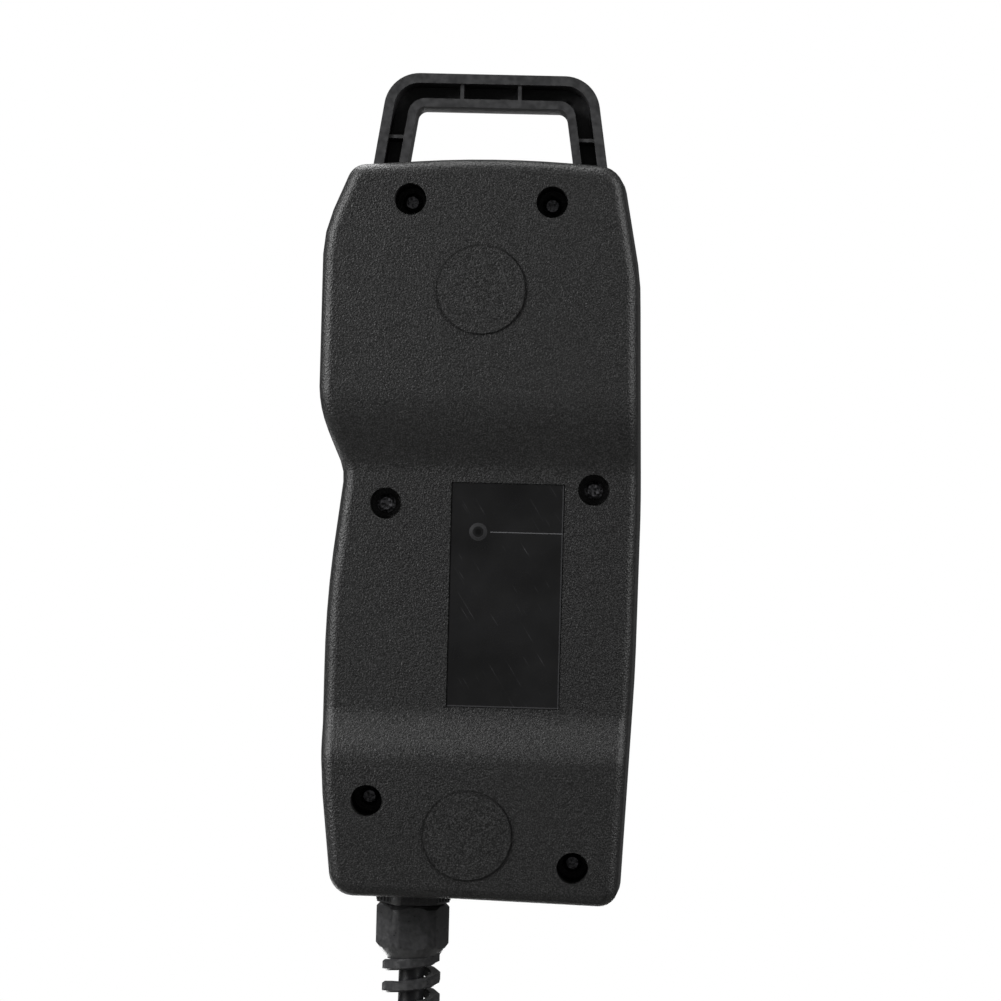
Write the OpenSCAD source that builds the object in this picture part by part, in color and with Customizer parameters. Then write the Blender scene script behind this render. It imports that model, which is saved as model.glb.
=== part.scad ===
// Hand-held pulse generator for a machine tool: a handwheel, two selector switches and a stop
// button in a two-part case with a hanging loop, a cable gland and a coiled cord with a plug.
// The controls face -Y, the back faces +Y, +Z is up, and the origin is under the loop's bar,
// where the unit hangs.

/* [Case] */
// Length of the case, from its top edge to its bottom edge
case_length = 198.3; // [192:0.1:208]
// Half width of the case on the side with the finger notch
notch_side = 43.5; // [42:0.1:47]
// Half width of the case on the plain side
plain_side = 44.1; // [43:0.1:47]
// How much each side draws in towards the top corners
top_taper = 7.2; // [6:0.1:9]
// How much the plain side draws in towards the bottom corner
foot_taper = 3.1; // [2:0.1:4]
// How much narrower the notch side is below the finger notch
notch_step = 3; // [2:0.1:4]
// Depth of the finger notch
notch_depth = 7.2; // [5:0.1:8.5]
// Distance of the finger notch below the top edge
notch_drop = 84.3; // [80:0.1:88]
// Depth of the front shell, from the joint to the panel
front_depth = 24; // [22:0.5:28]
// Depth of the rear shell, from the joint to the back
rear_depth = 17.5; // [17:0.5:22]
// Wall thickness of both shells
wall = 2.5; // [2.2:0.1:2.8]
// Radius of the outer edges of both shells
edge_r = 3.4; // [2.6:0.1:3.8]
// Radius of the four corners of the case
corner_r = 5; // [4.6:0.1:7]
// How far the side walls lean in from the joint to the edge radius
draft = 0.9; // [0.5:0.1:1.2]
// Depth of the hand recess in the back
grip_recess = 5; // [3:0.5:5.5]
// Distance of the hand recess below the top edge
grip_drop = 62.2; // [58:0.1:64]
// Length of the slope into the hand recess
grip_ramp = 20; // [16:0.5:22]
// Distance of the lower slope below the top edge
foot_drop = 146.7; // [145:0.1:149]
// Length of the lower slope
foot_ramp = 14.6; // [12:0.2:18]

/* [Hanging loop] */
// Height of the case's top edge below the loop's bar
hang_drop = 13.4; // [12:0.1:20]
// Width of the loop's bar and legs
bar_w = 8.9; // [8.5:0.1:10]
// Depth of the loop, from front to back
loop_depth = 12; // [10:0.5:13]
// Half width of the loop at its top
loop_top_half = 27.5; // [26:0.1:28]
// Half width of the loop where it enters the case
loop_foot_half = 30.9; // [30.4:0.1:31.4]
// Outer corner radius of the loop
loop_r = 9.5; // [7:0.5:12]
// Thickness of the loop's walls round its channel
loop_wall = 2.6; // [2:0.1:3]
// Thickness of the loop's web and of the lugs under the top screws
lug_t = 2.5; // [2:0.1:3]

/* [Case screws] */
// Diameter of the screw heads
screw_head_d = 5; // [4.6:0.1:6]
// Diameter of the screw shanks
screw_d = 2.6; // [2.2:0.1:3]
// Length of the screws under the head
screw_length = 12; // [10:1:14]
// Diameter of the counterbores in the back
counterbore_d = 8.4; // [7.6:0.1:9]
// Wall round a counterbore
boss_wall = 1.2; // [1:0.1:1.6]
// Plastic left under a screw head
boss_floor = 2.5; // [2:0.1:3]

/* [Pads and label] */
// Diameter of the raised pads on the back
pad_d = 23.4; // [22:0.1:26]
// Height of the raised pads
pad_h = 0.5; // [0.3:0.1:0.8]
// Distance of the upper pad below the top edge
upper_pad_drop = 35.5; // [34:0.1:37]
// Distance of the lower pad above the bottom edge
lower_pad_rise = 18; // [17:0.1:20]
// Diameter of the magnets behind the pads
magnet_d = 20; // [18:0.5:20.5]
// Thickness of the magnets
magnet_t = 5; // [3:0.5:5.5]
// Width of the label
label_w = 29.8; // [28:0.1:31]
// Height of the label
label_h = 59.6; // [55:0.1:60]
// Thickness of the label
label_t = 0.35; // [0.2:0.05:0.5]

/* [Handwheel] */
// Diameter of the handwheel
wheel_d = 60; // [56:0.5:61]
// Thickness of the handwheel
wheel_t = 9; // [8:0.5:12]
// Height of the wheel's axis above the bottom edge
wheel_rise = 54.6; // [54:0.1:57]
// Distance of the crank from the wheel's axis
crank_reach = 20; // [18:0.5:21]
// Length of the crank knob
crank_knob_h = 21; // [16:0.5:26]
// Largest diameter of the crank knob
crank_knob_d = 14; // [12:0.5:15]
// Diameter of the wheel's shaft
shaft_d = 6; // [5.5:0.1:6.5]
// Diameter of the generator's housing behind the panel
housing_d = 50; // [48:0.5:51]
// Depth of the generator's housing behind the panel's face
housing_depth = 17.6; // [17:0.1:18]

/* [Selectors] */
// Distance of a selector's axis from the middle
selector_reach = 19.5; // [19:0.1:20.5]
// Distance of the selectors below the top edge
selector_drop = 75; // [73:0.1:76]
// Diameter of the selector knobs
knob_d = 24; // [20:0.5:25]
// Height of the selector knobs
knob_h = 15.5; // [13:0.5:20]
// Diameter of a switch body
switch_d = 21; // [18:0.5:21]

/* [Stop button] */
// Distance of the stop button below the top edge
stop_drop = 34.7; // [33:0.1:35.5]
// Diameter of the mushroom head
stop_head_d = 29; // [26:0.5:32]
// Height of the mushroom head
stop_head_h = 13.5; // [12:0.5:15]
// Diameter of the collar's barrel
barrel_d = 16; // [15:0.5:17]
// Travel of the stop button
stop_travel = 4; // [3:0.25:4]

/* [Gland and cord] */
// Distance of the gland from the middle
gland_x = 15.3; // [14:0.1:16]
// Width of the gland's hexagons across their flats
gland_af = 18.6; // [18:0.1:19.5]
// Diameter that the corners of the gland's hexagons are turned down to
gland_d = 20; // [19.6:0.1:20.6]
// Height of the hexagon of the gland's body
gland_hex_h = 2.6; // [2.4:0.1:4]
// Height of the straight part of the dome nut
dome_h = 10.7; // [10:0.1:12]
// Outer diameter of the spiral tail
tail_d = 16.1; // [15.5:0.1:17]
// Distance between two turns of the spiral tail
tail_pitch = 6; // [5.6:0.1:6.4]
// Number of turns of the spiral tail
tail_turns = 8; // [6:1:9]
// Diameter of the cord
cord_d = 7; // [6.6:0.1:7.2]

/* [Hidden] */
$fn = 64;
// clearance between pieces that only lie beside each other, running fit, and looser fit
fit = 0.3;
run = 0.05;
slack = 0.15;

// ---- places that several pieces share ----
case_top = -hang_drop;
function below(drop) = case_top - drop;
joint_y = -loop_depth / 2;
back_y = joint_y + rear_depth;
panel_y = joint_y - front_depth;
film_pocket = 0.4;
seat_y = panel_y + film_pocket;
inner_y = panel_y + wall;

wheel_z = below(case_length - wheel_rise);
selector_z = below(selector_drop);
stop_z = below(stop_drop);
lamp_z = below(stop_drop + 23);
upper_pad_z = below(upper_pad_drop);
lower_pad_z = below(case_length - lower_pad_rise);
case_bottom = below(case_length);

// ---- outlines: corner lists, moved inwards and rounded ----
function xy(p) = [p[0], p[1]];
function unit(v) = v / norm(v);
function left_of(v) = [-v[1], v[0]];
function turned(v, a) = [v[0] * cos(a) - v[1] * sin(a), v[0] * sin(a) + v[1] * cos(a)];
function at(list, i) = list[(i + len(list)) % len(list)];
function heading(pts, i) = unit(xy(at(pts, i + 1)) - xy(at(pts, i)));

// A list of corners [x, z, radius] moved inwards by d, each radius following
function inset(pts, d) = [
    for (i = [0 : len(pts) - 1])
        let (
            u = heading(pts, i - 1),
            v = heading(pts, i),
            move = (left_of(u) + left_of(v)) / (1 + u * v),
            p = xy(pts[i]) + d * move,
            r = max(pts[i][2] - sign(cross(u, v)) * d, 0.4)
        )
        [p[0], p[1], r]
];

// The points round corner i of a list
function arc(pts, i, steps) =
    let (
        u = heading(pts, i - 1),
        v = heading(pts, i),
        turn = atan2(cross(u, v), u * v),
        r = at(pts, i)[2],
        start = xy(at(pts, i)) - r * tan(abs(turn) / 2) * u,
        centre = start + sign(turn) * r * left_of(u)
    )
    [for (k = [0 : steps]) centre + turned(start - centre, turn * k / steps)];

function rounded(pts, steps = 8) = [for (i = [0 : len(pts) - 1]) each arc(pts, i, steps)];

// ---- the case's outline and its faces ----
// Corners anticlockwise from the top one on the notch side: [x, z, radius]
case_corners = [
    [notch_side - top_taper - 0.7, below(2), corner_r + 1],
    [-2.5, below(-1), 290],
    [-(plain_side - top_taper), below(1.1), corner_r + 3],
    [-(plain_side - 1.7), below(30.5), 60],
    [-plain_side, below(92), 400],
    [-(plain_side - 0.4), case_bottom + 62, 400],
    [-(plain_side - foot_taper), case_bottom - 1.1, corner_r + 1],
    [4, case_bottom, 60],
    [notch_side - notch_step - 1.2 * foot_taper, case_bottom, corner_r + 2.5],
    [notch_side - notch_step, case_bottom + 33.4, 160],
    [notch_side - notch_step, below(notch_drop + 34.6), 280],
    [notch_side - notch_depth, below(notch_drop), 12],
    [notch_side, below(notch_drop - 16.2), 34],
    [notch_side - 0.1, below(20.6), 34]
];

// Levels down the case at which its two sides are cut, finer where a side or the back bends
edge_zone = 9;
notch_end = notch_drop + 14;
drops = concat(
    [for (k = [0 : 8]) edge_zone + (grip_drop - edge_zone) * k / 9],
    [for (k = [0 : 13]) grip_drop + (notch_end - grip_drop) * k / 13],
    [for (k = [1 : 6]) notch_end + (foot_drop - notch_end) * k / 6],
    [for (k = [1 : 6]) foot_drop + foot_ramp * k / 6],
    [for (k = [1 : 3]) foot_drop + foot_ramp + (case_length - edge_zone - foot_drop - foot_ramp) * k / 3]
);
levels = len(drops);
corner_steps = 6;
top_count = 3 * (corner_steps + 1);
foot_count = 3 * (corner_steps + 1);
ring_count = top_count + foot_count + 2 * levels;

// The width of one side at each level, from the rounded corners of that side
function side(pts, corners) =
    let (table = [for (i = corners) for (p = arc(pts, i, 8)) [p[1], p[0]]])
    [for (drop = drops) [lookup(below(drop), table), below(drop)]];
function reversed(list) = [for (i = [len(list) - 1 : -1 : 0]) list[i]];

// The case's outline moved inwards by d, anticlockwise, as [x, z] points
function case_ring(d) =
    let (pts = inset(case_corners, d))
    concat(
        [for (i = [0 : 2]) each arc(pts, i, corner_steps)],
        side(pts, [2 : 6]),
        [for (i = [6 : 8]) each arc(pts, i, corner_steps)],
        reversed(side(pts, [8 : 14]))
    );

// Distance from the row's XZ plane to the back at height z, and to the flat panel in front
function clamped(t) = min(max(t, 0), 1);
function into_grip(z) = 1 - cos(90 * clamped((case_top - z - grip_drop) / grip_ramp));
function out_of_grip(z) = (1 - cos(180 * clamped((case_top - z - foot_drop) / foot_ramp))) / 2;
back_face = function (z) back_y - grip_recess * (into_grip(z) - out_of_grip(z));
panel_face = function (z) -panel_y;

// A ring of a shell: inset d, and either at the fixed depth y or a drop under the face
function fixed(d, y) = [d, y, undef];
function under(d, drop) = [d, undef, drop];
function ring(level, face) = [
    for (p = case_ring(level[0]))
        [p[0], level[1] == undef ? face(p[1]) - level[2] : level[1], p[1]]
];
function rounding(start, radius, steps) = [
    for (k = [0 : steps])
        under(start + radius * (1 - cos(90 * k / steps)), radius * (1 - sin(90 * k / steps)))
];

// Two triangles between neighbouring rings a and b, and the face that closes the last ring
function band(a, b) = [
    for (i = [0 : ring_count - 1])
        let (j = (i + 1) % ring_count, p = a * ring_count, q = b * ring_count)
        each [[p + i, p + j, q + j], [p + i, q + j, q + i]]
];
function lid(a) =
    let (p = a * ring_count, last = p + ring_count - 1, foot = p + top_count + levels)
    concat(
        [concat([last], [for (i = [0 : top_count]) p + i])],
        [
            for (k = [0 : levels - 2])
                [p + top_count + k, p + top_count + k + 1, last - k - 1, last - k]
        ],
        [[for (i = [-1 : foot_count]) foot + i]]
    );
function flipped(faces) = [for (f = faces) reversed(f)];

// A hollow shell, open at its first rings, lofted through the outer and the inner levels
module shell(outer, inner, face) {
    n = len(outer);
    m = len(inner);
    polyhedron(
        points = concat(
            [for (l = outer) each ring(l, face)],
            [for (l = inner) each ring(l, face)]
        ),
        faces = concat(
            [for (k = [0 : n - 2]) each band(k, k + 1)],
            lid(n - 1),
            [for (k = [0 : m - 2]) each flipped(band(n + k, n + k + 1))],
            flipped(lid(n + m - 1)),
            band(n, 0)
        ),
        convexity = 8
    );
}

// ---- solids set along Y and Z ----
module slab(y0, y1) {
    translate([0, y1, 0]) rotate([90, 0, 0]) linear_extrude(y1 - y0) children();
}
module rod(x, z, y0, y1, d) {
    translate([x, y1, z]) rotate([90, 0, 0]) cylinder(h = y1 - y0, d = d);
}
// A solid of revolution about an axis along Y, from [radius, y] points
module spun(x, z, profile) {
    translate([x, 0, z]) rotate([90, 0, 0])
        rotate_extrude() polygon([for (p = profile) [p[0], -p[1]]]);
}
// A solid of revolution about an axis along Z, from [radius, z] points
module upright(x, y, profile) {
    translate([x, y, 0]) rotate_extrude() polygon(profile);
}
module block(x0, x1, y0, y1, z0, z1) {
    translate([x0, y0, z0]) cube([x1 - x0, y1 - y0, z1 - z0]);
}
module hexagon(af) {
    circle(d = af / cos(30), $fn = 6);
}

// A round tube swept along points, for wires and the cord
function along(path, i) =
    unit(path[min(i + 1, len(path) - 1)] - path[max(i - 1, 0)]);
function sideways(t) = unit(cross(t, abs(t[1]) < 0.9 ? [0, 1, 0] : [1, 0, 0]));
module tube(path, d, sides) {
    n = len(path);
    points = [
        for (i = [0 : n - 1])
            let (t = along(path, i), a = sideways(t), b = cross(t, a))
            for (k = [0 : sides - 1])
                path[i] + d / 2 * (cos(360 * k / sides) * a + sin(360 * k / sides) * b)
    ];
    walls = [
        for (i = [0 : n - 2])
            for (k = [0 : sides - 1])
                let (p = i * sides, l = (k + 1) % sides)
                each [
                    [p + k, p + sides + l, p + l],
                    [p + k, p + sides + k, p + sides + l]
                ]
    ];
    polyhedron(
        points = points,
        faces = concat(
            walls,
            [[for (k = [0 : sides - 1]) k]],
            [[for (k = [sides - 1 : -1 : 0]) (n - 1) * sides + k]]
        ),
        convexity = 6
    );
}

// ---- case screws: [x, drop below the top edge, height at which the rear boss ends above the
// joint, thickness of the loop's lug below that] ----
grip_boss = 5;
case_screw_places = [
    [19.4, 11.9, lug_t, lug_t],
    [-18.2, 11.9, lug_t, lug_t],
    [24.2, 92.7, grip_boss, 0],
    [-31.2, 87.8, grip_boss, 0],
    [27, case_length - 26.6, 0, 0],
    [-28.1, case_length - 10.2, 0, 0]
];
function foot_y(place) = joint_y + place[2];
function pillar_y(place) = foot_y(place) - place[3];
function head_y(place) = foot_y(place) + boss_floor;

// ---- hanging loop ----
loop_x = -1.4;
loop_low = case_top - 30;
function loop_half(z) =
    loop_top_half + (loop_foot_half - loop_top_half) * (bar_w - z) / (bar_w - case_top);
loop_root = 4.9;
// The loop's outline moved inwards by d, with its upper corners rounded to radius r
module loop_area(d, r) {
    pts = inset([
        [loop_x + loop_half(loop_low), loop_low, 0],
        [loop_x + loop_top_half, bar_w, 0],
        [loop_x - loop_top_half, bar_w, 0],
        [loop_x - loop_half(loop_low), loop_low, 0]
    ], d);
    sharp = [for (p = pts) xy(p)];
    upper = [for (p = pts) [p[0], p[1], r]];
    polygon(concat([sharp[0]], arc(upper, 1, 12), arc(upper, 2, 12), [sharp[3]]));
}

// ---- handwheel and generator, from the panel's seat towards the back and the front ----
flange_t = 3;
flange_d = housing_d + 12;
flange_y = seat_y - flange_t;
housing_back = seat_y + housing_depth;
bearing_d = 15;
bearing_t = 5;
housing_front_wall = 3;
bearing_front = flange_y + 1;
bearing_back = bearing_front + bearing_t;
housing_inner_d = housing_d - 6;
wheel_back = flange_y - 0.5;
wheel_front = wheel_back - wheel_t;
cover_t = 2;
generator_screw_reach = (housing_d + flange_d) / 4;
code_y = bearing_back + 6.4;
board_y = housing_back - 3.6;
shaft_end = board_y - 1.4;
crank_x = 0;
crank_z = wheel_z + crank_reach;
crank_seat = wheel_front + 2;
crank_foot = wheel_front - 0.4;
crank_end = crank_foot - crank_knob_h;

// ---- selectors ----
bush_d = 9.4;
nut_h = 2.2;
bush_front = seat_y - 4;
switch_back = inner_y + 13;
knob_back = panel_y - 0.5;
knob_front = knob_back - knob_h;

// ---- stop button ----
collar_d = barrel_d + 10;
gasket_t = 0.5;
collar_front = seat_y - gasket_t - 3.5;
barrel_back = inner_y + 10.5;
stem_d = barrel_d - 6;
stem_back = barrel_back + 0.5;
contact_back = inner_y + 25.5;
spring_d = 8;
spring_floor = stem_back - 5;
contact_floor = contact_back - 5;
head_back = collar_front - stop_travel - 0.6;
head_front = head_back - stop_head_h;

// ---- gland, along Z below the case's bottom ----
gland_y = panel_y + 13;
gasket_h = 0.8;
thread_d = 15.2;
hex_bottom = case_bottom - gasket_h - gland_hex_h;
dome_top = hex_bottom - 0.4;
dome_shoulder = dome_top - dome_h;
dome_bottom = dome_shoulder - 4.3;
tail_bottom = dome_bottom - tail_pitch * tail_turns;
tail_t = 2.6;
pad_t = 3.4;
gland_inside = 6;

// ---- cord: from the dome nut down into the coil, and from the coil to the plug ----
lead_route = [
    [15.3, -17, -230.6], [15.3, -17, -246], [15.3, -17, -262], [15.3, -17, -278],
    [15.3, -17, -290], [13.2, -17, -300], [8, -17, -308.5], [0.5, -17, -315],
    [-7, -17, -318.2], [-14, -17, -319]
];
end_route = [
    [-55, -37, -360], [-55, -40.5, -368], [-55.2, -42.5, -377], [-55.4, -43.6, -388],
    [-55.5, -44, -400]
];
coil_x = -14;
coil_y = -24;
coil_z = -366.5;
coil_r = 41;
coil_half_w = 14.2;
coil_half_h = 10.2;
coil_edge = 5;
tie_t = 1;
tie_w = 7;
plug_x = -55.5;
plug_y = -44;
plug_top = -400;

// ---- materials' colours ----
shell_black = "#37383a";
smooth_black = "#1d1d1f";
nylon_black = "#222224";
screw_steel = "#4c4c50";
steel = "#b8babd";
brass = "#c9a55c";
rubber = "#161616";

// ---------------------------------------------------------------- case

// Ring-shaped pocket wall that holds a magnet behind its pad
module magnet_pocket(z) {
    rod(0, z, magnet_back - magnet_t - 1, back_y - 0.2, magnet_d + 3.6);
}
magnet_back = back_y - 1;
module magnet_hole(z) {
    rod(0, z, joint_y, magnet_back, magnet_d + 2 * slack);
}

label_x = -8.4;
label_z = below(116.6);
bump_x = label_x + label_w / 2 - 7.2;
bump_z = label_z + label_h / 2 - 12.9;
label_pocket = 0.6;
label_edge = 0.25;

module rear_case() color(shell_black) {
    difference() {
        union() {
            shell(
                concat([fixed(0, joint_y)], rounding(draft, edge_r, 4)),
                [
                    fixed(wall, joint_y),
                    under(wall + draft, wall + 1.6),
                    under(wall + draft + 1.6, wall)
                ],
                back_face
            );
            for (z = [upper_pad_z, lower_pad_z]) {
                rod(0, z, back_y - wall / 2, back_y + pad_h, pad_d);
                magnet_pocket(z);
            }
            for (p = case_screw_places)
                rod(
                    p[0], below(p[1]), foot_y(p), back_face(below(p[1])) - wall / 2,
                    counterbore_d + 2 * boss_wall
                );
            // stiffening ribs across the inside
            for (drop = [18.6, 52, 160])
                block(
                    -30, 30, back_face(below(drop)) - wall - 2.2, back_face(below(drop)) - wall / 2,
                    below(drop), below(drop - 1.4)
                );
        }
        for (z = [upper_pad_z, lower_pad_z])
            magnet_hole(z);
        for (p = case_screw_places) {
            rod(p[0], below(p[1]), head_y(p), back_y + 1, counterbore_d);
            rod(p[0], below(p[1]), foot_y(p) - 1, head_y(p) + 1, screw_d + 0.6);
        }
        // pocket for the label
        block(
            label_x - label_w / 2 - label_edge, label_x + label_w / 2 + label_edge,
            back_y - grip_recess - label_pocket, back_y + 1,
            label_z - label_h / 2 - label_edge, label_z + label_h / 2 + label_edge
        );
        // notches for the loop's two legs
        difference() {
            slab(joint_y - 1, loop_depth / 2 + slack) intersection() {
                loop_area(-slack, loop_r);
                translate([-50, below(loop_root + 0.4)]) square([100, loop_root + 3]);
            }
            slab(joint_y - 2, loop_depth) loop_area(bar_w + slack, 2.5);
        }
    }
}

module front_case() color(smooth_black) {
    difference() {
        union() {
            mirror([0, 1, 0]) shell(
                concat([fixed(0, -joint_y)], rounding(draft, edge_r, 4)),
                [fixed(wall, -joint_y), under(wall + draft, wall)],
                panel_face
            );
            for (p = case_screw_places)
                rod(p[0], below(p[1]), inner_y - wall / 2, pillar_y(p), 8);
            // thick flat round the gland's hole
            translate([gland_x, gland_y, case_bottom]) cylinder(h = pad_t, d = 20.6);
            // pillars for the junction board
            for (z = junction_screw_z)
                rod(0, z, inner_y - wall / 2, junction_y, 6);
        }
        slab(joint_y - seal_depth, joint_y + 1) difference() {
            polygon(case_ring(seal_inset));
            polygon(case_ring(seal_inset + seal_w));
        }
        slab(panel_y - 1, seat_y) polygon(case_ring(draft + edge_r + 0.7));
        for (p = case_screw_places)
            rod(p[0], below(p[1]), head_y(p) - screw_length - 1, foot_y(p) + 1, screw_d + 2 * run);
        rod(0, wheel_z, panel_y - 1, inner_y + 1, housing_d + 0.6);
        for (k = [0 : 2])
            generator_screw_place(k) rod(0, 0, panel_y - 1, inner_y + 1, 3.4);
        for (x = [-selector_reach, selector_reach])
            rod(x, selector_z, panel_y - 1, inner_y + 1, bush_d + 0.4);
        rod(0, stop_z, panel_y - 1, inner_y + 1, barrel_d + 0.3);
        rod(0, lamp_z, panel_y - 1, inner_y + 1, lamp_d + 0.2);
        for (z = junction_screw_z)
            rod(0, z, junction_y - 8, junction_y + 1, 2.3);
        translate([gland_x, gland_y, case_bottom - 1]) cylinder(h = pad_t + 4, d = thread_d + 0.3);
    }
}

seal_inset = 0.7;
seal_w = 1.1;
seal_depth = 1.3;
module case_seal() color(rubber) {
    slab(joint_y - seal_depth + run, joint_y - run) difference() {
        polygon(case_ring(seal_inset + run));
        polygon(case_ring(seal_inset + seal_w - run));
    }
}

module screw(x, z, y, head_d, d, length) {
    head_h = head_d * 0.4;
    difference() {
        spun(x, z, [
            [0, y - length], [d / 2, y - length], [d / 2, y], [head_d / 2, y],
            [head_d / 2, y + head_h * 0.6], [head_d * 0.32, y + head_h], [0, y + head_h]
        ]);
        for (a = [0, 90])
            translate([x, y + head_h, z]) rotate([0, a + 20, 0])
                cube([head_d * 0.56, head_h * 1.2, head_d * 0.13], center = true);
    }
}

module case_screws() color(screw_steel) {
    for (p = case_screw_places)
        screw(p[0], below(p[1]), head_y(p), screw_head_d, screw_d, screw_length);
}

module hanging_loop() color(smooth_black) {
    web_y = joint_y + lug_t;
    rib = 0.9;
    leg_rib_z = case_top * 0.6;
    difference() {
        slab(joint_y, loop_depth / 2) intersection() {
            loop_area(0, loop_r);
            translate([-50, below(loop_root)]) square([100, 60]);
        }
        slab(joint_y - 1, loop_depth) loop_area(bar_w, 2.5);
        // channel open to the back, crossed by four ribs
        difference() {
            slab(web_y, loop_depth) loop_area(loop_wall, loop_r - loop_wall);
            slab(0 - loop_depth, 2 * loop_depth) loop_area(bar_w - loop_wall + 0.4, 4.5);
            block(-50, 50, -loop_depth, loop_depth, loop_low - 1, below(loop_root / 2));
            for (x = [loop_x - 7.3, loop_x + 8.1])
                block(x - rib / 2, x + rib / 2, -loop_depth, loop_depth / 2 - 0.8, 0, bar_w);
            for (s = [-1, 1])
                block(
                    loop_x + s * 24 - 7, loop_x + s * 24 + 7, -loop_depth, loop_depth / 2 - 0.8,
                    leg_rib_z - rib / 2, leg_rib_z + rib / 2
                );
        }
    }
    // ejector mark on the channel's floor
    rod(loop_x - 19, loop_wall + 0.6, web_y - 0.5, web_y + 1.5, 1.3);
    // lugs that the two top case screws clamp
    for (k = [0, 1]) {
        p = case_screw_places[k];
        s = k == 0 ? 1 : -1;
        leg_x = loop_x + s * (loop_half(below(loop_root)) - bar_w / 2);
        difference() {
            slab(joint_y, joint_y + lug_t) union() {
                translate([p[0], below(p[1])]) circle(d = counterbore_d + 1);
                polygon([
                    [leg_x - s * bar_w * 0.45, below(loop_root - 0.5)],
                    [leg_x + s * bar_w * 0.3, below(loop_root - 0.5)],
                    [p[0] + s * 3.8, below(p[1] + 1.6)],
                    [p[0] - s * 3.6, below(p[1] - 1.6)]
                ]);
            }
            rod(p[0], below(p[1]), joint_y - 1, joint_y + lug_t + 1, screw_d + 0.6);
        }
    }
}

module upper_magnet() color(steel) {
    rod(0, upper_pad_z, magnet_back - magnet_t, magnet_back, magnet_d);
}

module lower_magnet() color(steel) {
    rod(0, lower_pad_z, magnet_back - magnet_t, magnet_back, magnet_d);
}

module rear_label() color("#1b1b1d") {
    floor_y = back_y - grip_recess - label_pocket;
    block(
        label_x - label_w / 2, label_x + label_w / 2, floor_y, floor_y + label_t,
        label_z - label_h / 2, label_z + label_h / 2
    );
    // low round bump near the label's upper inner corner
    spun(bump_x, bump_z, [
        [0, floor_y + label_t / 2], [2.5, floor_y + label_t / 2], [2.4, floor_y + label_t],
        [1.6, floor_y + label_t + 0.2], [0, floor_y + label_t + 0.2]
    ]);
}

module front_film() color("#101012") {
    difference() {
        slab(seat_y - 0.3, seat_y) polygon(case_ring(draft + edge_r + 1));
        rod(0, wheel_z, panel_y - 1, seat_y + 1, flange_d + 2 * fit);
        for (x = [-selector_reach, selector_reach])
            rod(x, selector_z, panel_y - 1, seat_y + 1, 17);
        rod(0, stop_z, panel_y - 1, seat_y + 1, collar_d + 2 * fit);
        rod(0, lamp_z, panel_y - 1, seat_y + 1, lamp_d + 2 + 2 * fit);
    }
}

// ---------------------------------------------------------------- pulse generator

module generator_screw_place(k) {
    a = 90 + 120 * k;
    translate([generator_screw_reach * cos(a), 0, wheel_z + generator_screw_reach * sin(a)])
        children();
}

module generator_housing() color("#8e9094") {
    difference() {
        spun(0, wheel_z, [
            [4.6, flange_y], [flange_d / 2, flange_y], [flange_d / 2, seat_y],
            [housing_d / 2, seat_y], [housing_d / 2, housing_back],
            [housing_inner_d / 2, housing_back],
            [housing_inner_d / 2, bearing_back], [bearing_d / 2 + 0.02, bearing_back],
            [bearing_d / 2 + 0.02, bearing_front], [4.6, bearing_front]
        ]);
        for (k = [0 : 2])
            generator_screw_place(k) rod(0, 0, flange_y + 0.6, seat_y + 1, 3 + 2 * run);
    }
}

module generator_screws() color(steel) {
    for (k = [0 : 2])
        generator_screw_place(k) screw(0, 0, inner_y, 5.2, 3, inner_y - flange_y - 1);
}

module bearing_outer_ring() color(steel) {
    spun(0, wheel_z, [
        [bearing_d / 2, bearing_front], [bearing_d / 2, bearing_back],
        [bearing_d / 2 - 1.4, bearing_back], [bearing_d / 2 - 1.4, bearing_front]
    ]);
}

module bearing_inner_ring() color(steel) {
    spun(0, wheel_z, [
        [shaft_d / 2, bearing_front], [shaft_d / 2, bearing_back],
        [shaft_d / 2 + 1.1, bearing_back], [shaft_d / 2 + 1.1, bearing_front]
    ]);
}

module bearing_balls() color(steel) {
    track = (bearing_d / 2 - 1.4 + shaft_d / 2 + 1.1) / 2;
    ball_d = bearing_d / 2 - shaft_d / 2 - 2.5 - 2 * run;
    for (k = [0 : 7])
        translate([
            track * cos(45 * k), (bearing_front + bearing_back) / 2, wheel_z + track * sin(45 * k)
        ]) sphere(d = ball_d);
}

module wheel_shaft() color(steel) {
    spun(0, wheel_z, [
        [0, wheel_front + 3.4], [shaft_d / 2, wheel_front + 3.4], [shaft_d / 2, shaft_end - 0.5],
        [shaft_d / 2 - 0.5, shaft_end], [0, shaft_end]
    ]);
}

hub_back = code_y + 1.4;
disc_r = housing_inner_d / 2 - 3;
module code_hub() color(brass) {
    spun(0, wheel_z, [
        [shaft_d / 2, bearing_back + 0.3], [shaft_d / 2 + 1, bearing_back + 0.3],
        [shaft_d / 2 + 1, bearing_back + 1], [6.5, bearing_back + 1], [6.5, code_y - 0.2],
        [4.6, code_y - 0.2], [4.6, hub_back], [shaft_d / 2, hub_back]
    ]);
}

module code_disc() color("#3d4a52") {
    spun(0, wheel_z, [
        [4.6, code_y - 0.2], [disc_r, code_y - 0.2], [disc_r, code_y + 0.2], [4.6, code_y + 0.2]
    ]);
}

detent_y = bearing_back + 1.6;
detent_r = disc_r - 4;
detents = 100;
module detent_wheel() color(steel) {
    tooth = 0.5;
    difference() {
        slab(detent_y, detent_y + 1.8) translate([0, wheel_z]) polygon([
            for (k = [0 : 2 * detents - 1])
                let (r = k % 2 == 0 ? detent_r : detent_r - tooth)
                [r * cos(180 * k / detents), r * sin(180 * k / detents)]
        ]);
        rod(0, wheel_z, detent_y - 1, detent_y + 3, 13);
    }
}

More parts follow.
